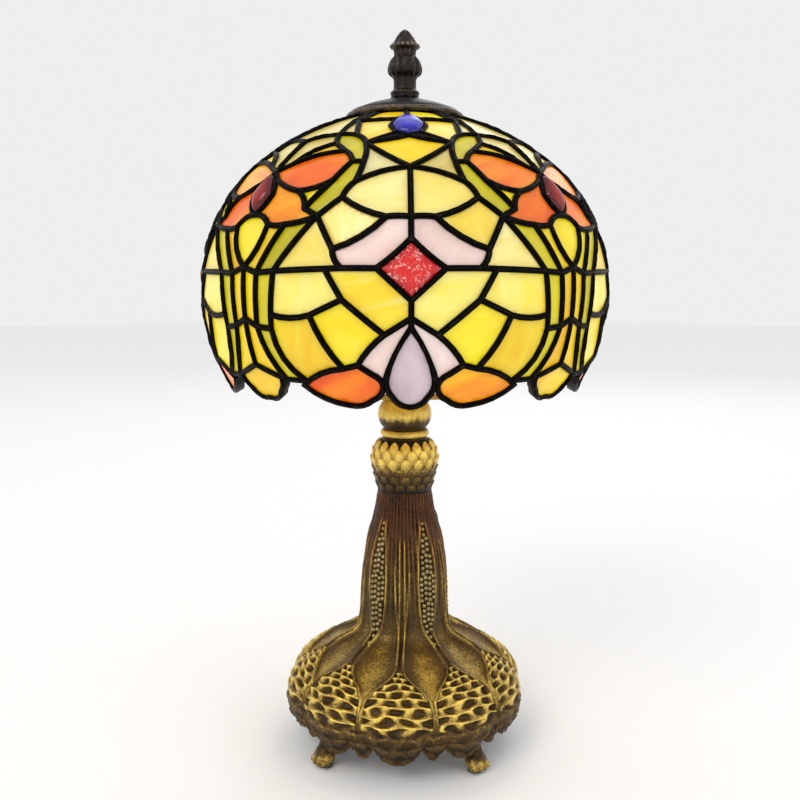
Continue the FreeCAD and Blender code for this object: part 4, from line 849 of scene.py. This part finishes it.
def grown(name, tree, material, body, points=(), sizes=(), slot=None, **inputs):
    """Runs a geometry tree on some points and keeps its result as a plain mesh."""
    mesh = bpy.data.meshes.new(name + "_points")
    mesh.from_pydata([tuple(p) for p in points], [], [])
    if len(sizes):
        mesh.attributes.new("size", "FLOAT", "POINT").data.foreach_set("value",
                                                                       np.asarray(sizes, dtype=np.float32))
    source = bpy.data.objects.new(name + "_points", mesh)
    bpy.context.scene.collection.objects.link(source)
    run = source.modifiers.new("grow", "NODES")
    run.node_group = tree
    for item in tree.interface.items_tree:
        if item.in_out == "INPUT" and item.name in inputs:
            run[item.identifier] = inputs[item.name]
        if item.in_out == "INPUT" and item.name == "Finish":
            run[item.identifier] = material
    bpy.context.view_layer.update()
    result = bpy.data.meshes.new_from_object(source.evaluated_get(bpy.context.evaluated_depsgraph_get()))
    bpy.data.objects.remove(source)
    made = bpy.data.objects.new(name, result)
    bpy.context.scene.collection.objects.link(made)
    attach(made, body)
    return made


BEADS, RIM, TURNED_SURFACE = bead_tree(), rim_tree(), smoothing_tree()


# ---------------------------------------------------------------- crown
def finial_relief(angle, radius, height):
    """Plain stem, gadrooned bulb, fluted waist, ring, and a cone of upright leaves."""
    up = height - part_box("finial")[0][2] / MM
    turn = np.radians(angle)
    gadroon = 0.75 * (np.abs(np.cos(6 * turn)) - 0.6) * ease(up, 7.6, 9.6) * (1 - ease(up, 16.5, 18.5))
    waist = 0.28 * np.cos(14 * turn) * ease(up, 18.3, 19.2) * (1 - ease(up, 20.6, 21.4))
    leaf = 0.7 * (np.abs(np.cos(4 * turn)) - 0.55) * ease(up, 24.0, 25.2) * (1 - ease(up, 29.4, 30.8))
    scallop = 0.45 * np.cos(8 * turn + math.pi) * ridge(up - 25.2, 1.3)
    lift = gadroon + waist + leaf + scallop
    return lift, 0.28 + 0.5 * lift + 0.25 * ridge(up - 0.6, 1.0) + 0.2 * ridge(up - 22.8, 0.9)


def make_crown():
    """The finial with its bead ring, and the rolled rim of the vent cap."""
    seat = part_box("finial")[0][2] / MM
    outside = [(0.0, 31.0), (0.9, 30.8), (1.8, 30.0), (3.9, 27.3), (5.7, 24.6), (6.7, 23.7), (6.9, 22.9),
               (6.6, 22.1), (5.4, 20.8), (5.2, 19.6), (5.6, 18.2), (7.2, 15.8), (8.2, 12.9), (8.3, 11.3),
               (7.8, 9.7), (6.4, 8.3), (5.7, 6.9), (5.6, 4.6), (5.7, 2.6), (6.3, 1.6), (7.2, 0.9), (7.2, 0.0)]
    section = along([(r, z + seat) for r, z in outside], 170)
    turned_relief("finial_cast", section, 144, finial_relief, DARK_BRONZE, "finial",
                  back=[(4.4, seat), (4.4, seat + 10.6), (0.0, seat + 10.6)], ring=False,
                  replaces=("finial",))
    ring = [(6.6 * math.cos(t), 6.6 * math.sin(t)) for t in np.arange(18) * 2 * math.pi / 18]
    grown("finial_bead_ring", BEADS, DARK_BRONZE, "finial",
          [(x * MM, y * MM, (seat + 22.9) * MM) for x, y in ring],
          [0.95 * MM] * 18, slot="dark_bronze", Wear=0.7)
    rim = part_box("vent_cap")[0][2]
    grown("cap_rolled_rim", RIM, DARK_BRONZE, "shade", slot="dark_bronze", Radius=28.0 * MM, Wire=1.25 * MM,
          Level=rim + 1.25 * MM, Wear=0.6)


# ---------------------------------------------------------------- neck
# levels over the table, in mm
COLUMN_TOP, RING_FOOT, BALL_FOOT, BALL_TOP = 134.0, 160.8, 167.2, 181.6
PIPE_HOLE = 5.1                  # radius of the hole for the lamp pipe
SCALES_ROUND = 16
SCALE_ROWS = [(26.2, 4.6), (22.6, 5.2), (18.4, 5.6), (13.8, 5.4), (9.4, 5.0), (5.2, 4.6)]   # tip, size in mm
# how bright each row of scales is painted: the upper rows, facing up towards the bulb, carry painted light,
# the lower rows, facing down, painted shade
ROW_BRIGHTNESS = (1.25, 1.15, 1.0, 0.56, 0.46, 0.4)


def collar_relief(angle, radius, height):
    """Rows of round-topped scales; every row overlaps the one above it and is set over by half."""
    rise = height - COLUMN_TOP
    across = angle / 360.0 * SCALES_ROUND
    lift, wear = np.full(angle.shape, -0.9), np.full(angle.shape, 0.02)
    for number, (tip, size) in enumerate(SCALE_ROWS):
        below = (tip - rise) / size
        side = np.abs(np.mod(across + 0.5 * (number % 2) + 0.5, 1) - 0.5)
        reach = 0.5 * np.sqrt(np.clip(1 - (1 - np.clip(below / 0.95, 0, 1)) ** 2, 0, 1))
        covered = (below > 0) & (side < reach) & (below < 1.7)
        round_ = np.sqrt(np.clip(1 - (side / 0.56) ** 2, 0, 1))
        rim = ease(reach - side, 0.0, 0.12)
        dome_of_scale = (1.15 - 0.95 * np.clip(below, 0, 1.3)) * round_ * (0.45 + 0.55 * rim) - 0.35
        lift = np.where(covered, dome_of_scale, lift)
        wear = np.where(covered, (ROW_BRIGHTNESS[number] - 0.5 * np.clip(below - 0.25, 0, 1)) * round_, wear)
    fade = ease(rise, 0.1, 0.8) * (1 - ease(rise, 26.0, 26.7))
    return lift * fade, wear


def ring_relief(angle, radius, height):
    """Plain rounded ring, rubbed bright where it stands out most."""
    return 0 * angle, 0.25 + 0.6 * ease(radius, 10.9, 12.3) + 0 * angle


def ball_relief(angle, radius, height):
    """Smooth ball: painted light of the bulb on its upper part and painted shade on its lower part, meeting
    along a wavy line.
    """
    rise = height - BALL_FOOT
    turn = np.radians(angle)
    # the wavy line where the painted light meets the painted shade
    run = 0.12 * np.sin(9 * turn + 1) + 0.1 * np.sin(23 * turn)
    return 0 * angle, 0.12 + 0.75 * ease(rise + 4 * run, 1.5, 7.0)


def make_neck():
    """The scale collar, the bead above it and the ball."""
    collar = [(14.1, COLUMN_TOP), (14.7, 137.0), (15.3, 140.0), (16.5, 145.0), (17.4, 149.5), (17.3, 153.0),
              (16.3, 156.4), (14.6, 159.0), (12.4, RING_FOOT)]
    turned_relief("neck_scales", along(collar, 120), 540, collar_relief, GILT_CASTING, "base",
                  back=[(PIPE_HOLE, RING_FOOT), (PIPE_HOLE, COLUMN_TOP)], replaces=("scale_collar",))
    ring = [(11.2, RING_FOOT), (10.9, 161.3), (11.2, 161.9), (12.1, 162.5), (12.6, 163.6), (12.5, 164.8),
            (11.9, 165.7), (11.0, 166.3), (10.9, 166.8), (11.3, BALL_FOOT)]
    turned_relief("neck_bead", along(ring, 44), 160, ring_relief, GILT_CASTING, "base",
                  back=[(PIPE_HOLE, BALL_FOOT), (PIPE_HOLE, RING_FOOT)], replaces=("neck_ring",))
    ball = [(11.4, BALL_FOOT), (12.9, 169.4), (13.8, 172.4), (13.9, 174.4), (13.4, 177.0), (12.2, 179.4),
            (10.3, BALL_TOP)]
    turned_relief("neck_globe", along(ball, 60), 200, ball_relief, GILT_CASTING, "base",
                  back=[(PIPE_HOLE, BALL_TOP), (PIPE_HOLE, BALL_FOOT)], replaces=("neck_ball",))


# ---------------------------------------------------------------- base
HEM, NET_FOOT, COLUMN_FOOT = 11.0, 30.0, 58.5      # levels in mm
# (radius, height) of the casting's outside from the hem up
COLUMN_SECTION = [(54.5, HEM), (59.2, 19.5), (60.2, 27.0), (58.2, 36.5), (50.5, 45.5), (38.5, 54.0),
                  (29.0, COLUMN_FOOT), (24.4, 62.5), (23.2, 69.7), (22.6, 83.5), (21.2, 98.0),
                  (18.5, 111.8), (15.3, 124.8), (14.1, COLUMN_TOP)]
# heights in mm, and at each the panel's half width in degrees; over the panel's tip, the leaf flute's edge
PANEL_HALF = ([HEM, 18, 25, 36.5, 41.5, 45.0, 47.8, 50.0, 52.4, 58, 66, 75, 95],
              [12.4, 14.2, 16.8, 17.0, 16.4, 13.1, 7.9, 4.0, 1.7, 2.3, 3.6, 5.6, 8.6])
# heights in mm, and at each the bead strip's half width in mm
STRIP_HALF = ([57, 61, 68, 78, 90, 100, 110, 121], [0.0, 1.4, 3.0, 4.3, 4.7, 3.8, 2.4, 0.0])
# heights in mm where the net's rows meet, and the rows' numbers
ROWS_OF_NET = ([NET_FOOT, 34.4, 38.2, 41.5, 44.2, 46.6, 48.7, 50.5, 52.0], [0, 1, 2, 3, 4, 5, 6, 7, 8])
SCALE_ROW = 5.6                  # height of a row of the dark scales under the net
SCALES_PER_PANEL = 4
BEAD_PITCH, BEAD_ROW, BEAD_RADIUS, BEAD_SINK = 2.35, 2.75, 1.22, 0.55      # mm
RIB_COUNT = 54
RIB_CHANCE = random.Random(5)
RIB_HEIGHTS = np.array([RIB_CHANCE.uniform(0.35, 1.0) for _ in range(RIB_COUNT)])


def base_relief(angle, radius, height):
    """Net panels with ogee tops, leaf flutes between them, ribs and bead strips up the column."""
    turned = angle - BASE_TURN
    off = np.mod(turned + PANEL / 2, PANEL) - PANEL / 2
    strip_panel = np.mod(np.round(turned / PANEL), 2) == 1
    arc = np.radians(1) * radius
    half = np.interp(height, *PANEL_HALF)
    past = (np.abs(off) - half) * arc                     # mm outside the panel's edge
    low = 1 - ease(height, 51.0, 52.8)
    in_panel = ease(-past, 0.1, 0.9) * low
    frame_line = ridge(past - 0.35, 0.75) * low
    # net of staggered cells, and large dark scales under it
    row = np.interp(height, *ROWS_OF_NET)
    wobble = np.sin(np.radians(turned * 11) + height * 0.9)
    across = off / np.maximum(half, 1.0) * np.interp(height, [30, 38, 46, 51], [1.5, 1.75, 1.55, 0.9])
    across = across + 0.13 * wobble
    row = row + 0.1 * across ** 2 + 0.14 * np.sin(np.radians(turned * 17) + height * 0.5)
    _, gap = staggered(across, row)
    net = np.clip(ridge(gap, 0.56), 0, 1)
    # the lower edge of every cell stands out
    lip = np.clip(np.mod(row + 0.5, 1) - 0.35, 0, 0.6) / 0.6
    scale_row = (NET_FOOT - height) / SCALE_ROW
    scale_away, scale_gap = staggered(turned / PANEL * SCALES_PER_PANEL + 0.15 * wobble, scale_row)
    scales = ease(scale_gap, 0.0, 0.34)
    under_lip = np.clip(np.mod(scale_row + 0.5, 1) - 0.2, 0, 0.8) / 0.8
    upper = ease(height, 27.5, 30.0)
    on_net = in_panel * upper
    bulge = np.interp(height, [HEM, 18, 28, 40, 50], [0.8, 1.9, 2.4, 1.8, 0.3])
    swell = (1 - (off / np.maximum(half, 1)) ** 2) * bulge
    lift = on_net * (-1.7 * (1 - net) + 0.75 * lip * net + 0.1) + np.clip(in_panel, 0, 1) * swell * low
    plates = 0.9 * scales * (0.4 + 0.9 * (1 - under_lip)) - 0.9 * ridge(scale_away, 0.4) - 0.3
    lift = lift + (1 - upper) * plates
    lift = lift + 1.1 * frame_line
    lift = lift + 0.9 * ridge((height - HEM) - 1.2, 1.4) * (height < 14)
    # leaf flutes, hollow from the column down to their points between the panels
    inward = np.clip((PANEL / 2 - np.abs(off)) / np.maximum(PANEL / 2 - half, 0.3), 0, 1)
    hollow = np.interp(height, [37, 43, 49, 57, 68, 84, 100], [0, 1.0, 2.1, 2.3, 1.5, 0.7, 0])
    flute = (1 - inward ** 2) ** 1.2 * (1 - in_panel)
    lift = lift - hollow * flute
    leaf_edge = ridge(past - 0.5, 0.8) * (1 - low) * (1 - ease(height, 92, 104))
    lift = lift + 0.7 * leaf_edge
    # ribs, fine all round and a pair down every second panel
    on_column = ease(height, 54, 66) * (1 - ease(height, 131, 133.8))
    drift = turned + 1.6 * np.sin(height * 0.06 + np.radians(turned * 3))
    count = np.mod(np.floor(np.mod(drift, 360) / 360 * RIB_COUNT).astype(int), RIB_COUNT)
    swing = 0.75 + 0.25 * np.sin(height * 0.3 + count)
    rib = -np.cos(np.radians(drift * RIB_COUNT)) * RIB_HEIGHTS[count] * swing
    lift = lift + 0.4 * rib * on_column * (1 - 0.7 * flute * ease(90 - height, 0, 20))
    side = np.abs(off) * arc
    pair = ridge(side - 1.25, 0.75) * ease(height, 52, 56) * (1 - ease(height, 108, 114)) * ~strip_panel
    lift = lift + 0.75 * pair
    # recess for the strip of beads, framed by two curved ridges
    strip_half = np.interp(height, *STRIP_HALF)
    in_strip = ease(strip_half - side, -0.3, 0.5) * strip_panel * ease(height, 56.5, 59)
    strip_edge = (ridge(side - strip_half - 1.0, 0.9) * strip_panel * ease(height, 55, 59)
                  * (1 - ease(height, 119, 124)))
    lift = lift * (1 - in_strip) - 1.0 * in_strip + 0.75 * strip_edge
    # how bright each part is: rubbed wear on the ridges, painted light in the lower middles of the leaf
    # flutes, and painted shade under the bulge
    gold = 0.17 + 0.46 * net + 0.42 * lip * net
    wear = on_net * gold + (1 - on_net) * 0.24
    tips = ridge(scale_gap - 0.1, 0.16) * ease(height, 13, 27)
    rolled_hem = ridge(height - 12.2, 1.4) * (height < 14)
    # painted shade: below the net the casting is kept near black where it curves in under the bulge; the
    # scale tips and the rolled hem are rubbed brighter
    under = 0.04 + 0.3 * scales * (1 - under_lip) + 0.4 * tips + 0.22 * rolled_hem
    wear = wear * upper + under * (1 - upper)
    # painted light: the lower middle of every leaf flute, a hollow that faces up, is painted brighter
    leafy = (1 - in_panel) * ease(height, 36, 44) * (1 - ease(height, 66, 92))
    wear = wear * (1 - leafy) + leafy * (0.12 + 0.5 * (1 - inward ** 2) * (1 - ease(height, 48, 80)))
    column = ease(height, 62, 88)
    wear = wear * (1 - column) + column * (0.25 + 0.24 * rib)
    wear = wear + 0.5 * frame_line * ease(height, 26, 36) + 0.34 * pair + 0.3 * strip_edge + 0.3 * leaf_edge
    return lift, wear * (1 - 0.75 * in_strip)


def skirt_edge(angle):
    """Height of the scalloped hem: a large lobe under every panel and a small one between."""
    off = np.abs(np.mod(angle - BASE_TURN + PANEL / 2, PANEL) - PANEL / 2)
    large = HEM + 7.6 * np.clip(off / 12.6, 0, 2) ** 2.6
    small = 12.0 + 6.6 * np.clip((PANEL / 2 - off) / 5.6, 0, 3) ** 2.2
    return np.minimum(large, small)


def scalloped(angle, radius, height):
    """Draws the skirt's lowest part up to the scalloped hem."""
    share = np.clip((24.0 - height) / 13.0, 0, 1)
    return radius, height + share * (skirt_edge(angle) - HEM)


def make_base():
    """The cast column and bulge, with the beads set into the column's strips."""
    section = along(COLUMN_SECTION, 400)[::-1]
    split = int(np.argmin(np.abs(section[:, 1] - COLUMN_FOOT)))
    turned_relief("column", section, 432, base_relief, BROWN_CASTING, "base", rows=(0, split + 1),
                  back=[(20.0, section[split, 1]), (17.0, 72.0), (15.0, 98.0), (10.0, 127.0),
                        (5.2, COLUMN_TOP)],
                  replaces=("base_casting",))
    turned_relief("bulb_with_net", section, 560, base_relief, GILT_CASTING, "base",
                  rows=(split, len(section)),
                  back=[(53.4, 11.2), (51.9, 11.6), (54.5, 16.0), (55.6, 20.45), (40.2, 20.45), (40.2, 23.9),
                        (38.0, 40.0), (20.0, section[split, 1] - 6.0)], reshape=scalloped,
                  replaces=("base_casting",))
    points, sizes = [], []
    for level in np.arange(58.6, 120.6, BEAD_ROW):
        half = float(np.interp(level, *STRIP_HALF))
        radius = float(np.interp(level, section[::-1, 1], section[::-1, 0])) - BEAD_SINK
        number = max(1, int(round((2 * half) / 2.5)))
        for strip in range(PANELS // 2):
            middle = BASE_TURN + PANEL * (2 * strip + 1)
            for k in range(number):
                side = (k - (number - 1) / 2) * BEAD_PITCH
                turn = math.radians(middle) + side / radius
                points.append((radius * math.sin(turn) * MM, -radius * math.cos(turn) * MM,
                               (level + (0.5 if k % 2 else -0.3)) * MM))
                sizes.append((BEAD_RADIUS - 0.05 * abs(k - (number - 1) / 2)) * MM)
    grown("column_beads", BEADS, PALE_CASTING, "base", points, sizes, slot="antique_brass", Wear=0.5)


def make_feet():
    """Four lion's paws: a shin that grows out of the skirt, a knuckled paw and four toes."""
    # middles and half sizes, in mm: outwards from the axis, sideways, up
    lumps_of_foot = [((49.6, 0, 21.4), (5.4, 6.4, 5.0)), ((50.8, 0, 17.4), (4.5, 5.2, 4.4)),
                     ((51.6, 0, 13.4), (3.7, 4.1, 4.2)), ((52.2, 0, 9.8), (3.9, 4.2, 4.2)),
                     ((52.9, 0, 6.6), (5.2, 5.3, 4.6)), ((53.6, 0, 4.6), (5.5, 5.6, 3.6)),
                     ((48.8, 0, 6.2), (2.2, 2.4, 2.4))]
    for side in (-1.5, -0.5, 0.5, 1.5):
        lumps_of_foot += [((57.4 - 0.5 * side ** 2, side * 2.9, 3.3), (2.6, 1.6, 2.2)),
                          ((55.9 - 0.5 * side ** 2, side * 2.7, 5.5), (2.2, 1.4, 1.9))]
    work = bmesh.new()
    for foot in range(4):
        turn = math.radians(BASE_TURN + 45 + 90 * foot)
        for (out, side, high), (a, b, c) in lumps_of_foot:
            ball = bmesh.ops.create_icosphere(work, subdivisions=3, radius=1.0)
            for vert in ball["verts"]:
                x, y, z = out + vert.co.x * a, side + vert.co.y * b, max(high + vert.co.z * c, 1.02)
                vert.co = Vector((x * math.sin(turn) + y * math.cos(turn),
                                  -x * math.cos(turn) + y * math.sin(turn), z)) * MM
    mesh = bpy.data.meshes.new("paws_rough")
    work.to_mesh(mesh)
    work.free()
    rough = bpy.data.objects.new("paws_rough", mesh)
    bpy.context.scene.collection.objects.link(rough)
    knit = rough.modifiers.new("knit", "REMESH")
    knit.mode, knit.voxel_size = "VOXEL", 0.42 * MM
    soft = rough.modifiers.new("soft", "SMOOTH")
    soft.factor, soft.iterations = 0.5, 4
    bpy.context.view_layer.update()
    cast = bpy.data.meshes.new_from_object(rough.evaluated_get(bpy.context.evaluated_depsgraph_get()))
    bpy.data.objects.remove(rough)
    points = np.zeros(len(cast.vertices) * 3)
    cast.vertices.foreach_get("co", points)
    points = points.reshape(-1, 3)
    points[:, 2] = np.maximum(points[:, 2], 1.0 * MM)
    faces = [tuple(p.vertices) for p in cast.polygons]
    height = points[:, 2] / MM
    wear = 0.1 + 0.55 * (1 - ease(height, 4, 11)) * ease(height, 1.2, 3.0) + 0.14 * lumps(points, 4 * MM)
    piece("lion_paws", points, faces, GILT_CASTING, "base", replaces=("paw_feet",), wear=wear)


# ---------------------------------------------------------------- carried-over parts
CARRIED = {
    "came_lattice": SOLDER, "vent_cap": DARK_BRONZE, "foot_pads": FELT, "bottom_plate": PLATED_STEEL,
    "counterweight": CAST_IRON, "pipe_washer": PLATED_STEEL, "pipe_nuts": PLATED_STEEL,
    "lamp_pipe": PLATED_STEEL,
    "cord_bush": NYLON, "harp_saddle": SPUN_BRASS, "harp_hoop": SPUN_BRASS, "harp_stud": SPUN_BRASS,
    "harp_sleeve_left": SPUN_BRASS, "harp_sleeve_right": SPUN_BRASS, "holder_cup": SPUN_BRASS,
    "holder_shell": SPUN_BRASS, "holder_core": PORCELAIN, "holder_screw_shell": SPUN_BRASS,
    "centre_contact": SPUN_BRASS, "switch_key": PHENOLIC, "bulb_contact": PLATED_STEEL,
    "bulb_cap": CAP_ALUMINIUM,
    "crown_wheel": SPUN_BRASS, "finial_insert": SPUN_BRASS,
}


def lit_opal(name):
    """Opal bulb glass, lit: warm white and even, a little cooler near its cap."""
    material = finish(name)
    place = node(material, "ShaderNodeTexCoord").outputs["Object"]
    apart = node(material, "ShaderNodeSeparateXYZ", {0: place})
    high = node(material, "ShaderNodeMapRange", {"Value": apart.outputs["Z"], "From Min": 0.225,
                                                 "From Max": 0.262})
    colour = node(material, "ShaderNodeValToRGB", {"Fac": high.outputs["Result"]},
                  stops=[(0, "#F2D6A4"), (1, "#FFF3DC")])
    shader = node(material, "ShaderNodeBsdfPrincipled",
                  {"Base Color": colour.outputs["Color"], "Roughness": 0.25,
                   "Emission Color": colour.outputs["Color"],
                   "Emission Strength": 2.2})
    return output(material, shader)


def dress_carried_parts():
    """Gives every part that comes straight from the frame its finish, and rounds its shading."""
    finishes = dict(CARRIED, bulb_glass=lit_opal("opal_bulb_glass_lit"))
    for name, material in finishes.items():
        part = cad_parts[name]
        if not part.material_slots:
            part.data.materials.append(material)
        for place in part.material_slots:
            place.link = "OBJECT"
            place.material = material
        if name != "came_lattice":
            part.modifiers.new("round", "NODES").node_group = TURNED_SURFACE


# ---------------------------------------------------------------- stage, lights, camera
def area_light(name, place, target, size, power, colour):
    """A square soft light that faces a target."""
    lamp = bpy.data.lights.new(name, "AREA")
    lamp.size, lamp.energy, lamp.color = size, power, colour[:3]
    holder = bpy.data.objects.new(name, lamp)
    holder.location = place
    holder.rotation_euler = (Vector(target) - Vector(place)).to_track_quat("-Z", "Y").to_euler()
    bpy.context.scene.collection.objects.link(holder)


def set_stage():
    """A pale paper floor, an even grey-white room, three soft lights and the glow of the bulb."""
    paper = finish("backdrop_paper")
    place = node(paper, "ShaderNodeTexCoord").outputs["Object"]
    grain = node(paper, "ShaderNodeTexNoise", {"Vector": place, "Scale": 400.0})
    tint = node(paper, "ShaderNodeValToRGB", {"Fac": grain.outputs["Fac"]},
                stops=[(0, "#F6F6F6"), (1, "#FAFAFA")])
    output(paper, node(paper, "ShaderNodeBsdfPrincipled",
                       {"Base Color": tint.outputs["Color"], "Roughness": 0.9}))
    mesh = bpy.data.meshes.new("floor")
    ring = [(6 * math.cos(t), 6 * math.sin(t), 0.0) for t in np.arange(64) * 2 * math.pi / 64]
    mesh.from_pydata(ring, [], [tuple(range(64))])
    mesh.materials.append(paper)
    floor = bpy.data.objects.new("floor", mesh)
    bpy.context.scene.collection.objects.link(floor)
    world = bpy.data.worlds.new("studio")
    world.use_nodes = True
    world.node_tree.nodes["Background"].inputs["Color"].default_value = hue("#F6F6F7")
    world.node_tree.nodes["Background"].inputs["Strength"].default_value = 0.93
    bpy.context.scene.world = world
    area_light("key", (-0.9, -1.3, 1.5), (0, 0, 0.2), 0.9, 11, hue("#FFF8EE"))
    area_light("fill", (1.3, -1.0, 0.7), (0, 0, 0.2), 1.2, 3, hue("#F4F7FF"))
    area_light("back", (0.4, 1.4, 1.3), (0, 0, 0.25), 1.0, 4, hue("#FFFFFF"))
    glow = bpy.data.lights.new("bulb_light", "POINT")
    glow.energy, glow.color, glow.shadow_soft_size = 0.3, hue("#FFE9C4")[:3], 0.02
    holder = bpy.data.objects.new("bulb_light", glow)
    holder.location = (0, 0, 0.236)
    bpy.context.scene.collection.objects.link(holder)


def set_camera():
    """The eye at table height, a little to the left, looking down seven degrees."""
    view = bpy.data.cameras.new("camera")
    view.sensor_width, view.lens, view.clip_start = 36.0, 40.6, 0.01
    camera = bpy.data.objects.new("camera", view)
    side, distance, height, pitch = math.radians(-1.5), 0.464, 0.2377, math.radians(6.99)
    camera.location = (distance * math.sin(side), -distance * math.cos(side), height)
    camera.rotation_euler = (math.radians(90) - pitch, 0, side + math.radians(0.3))
    bpy.context.scene.collection.objects.link(camera)
    bpy.context.scene.camera = camera


bpy.context.scene.view_settings.view_transform = "Standard"
set_camera()
set_stage()
make_shade()
make_crown()
make_neck()
make_base()
make_feet()
dress_carried_parts()
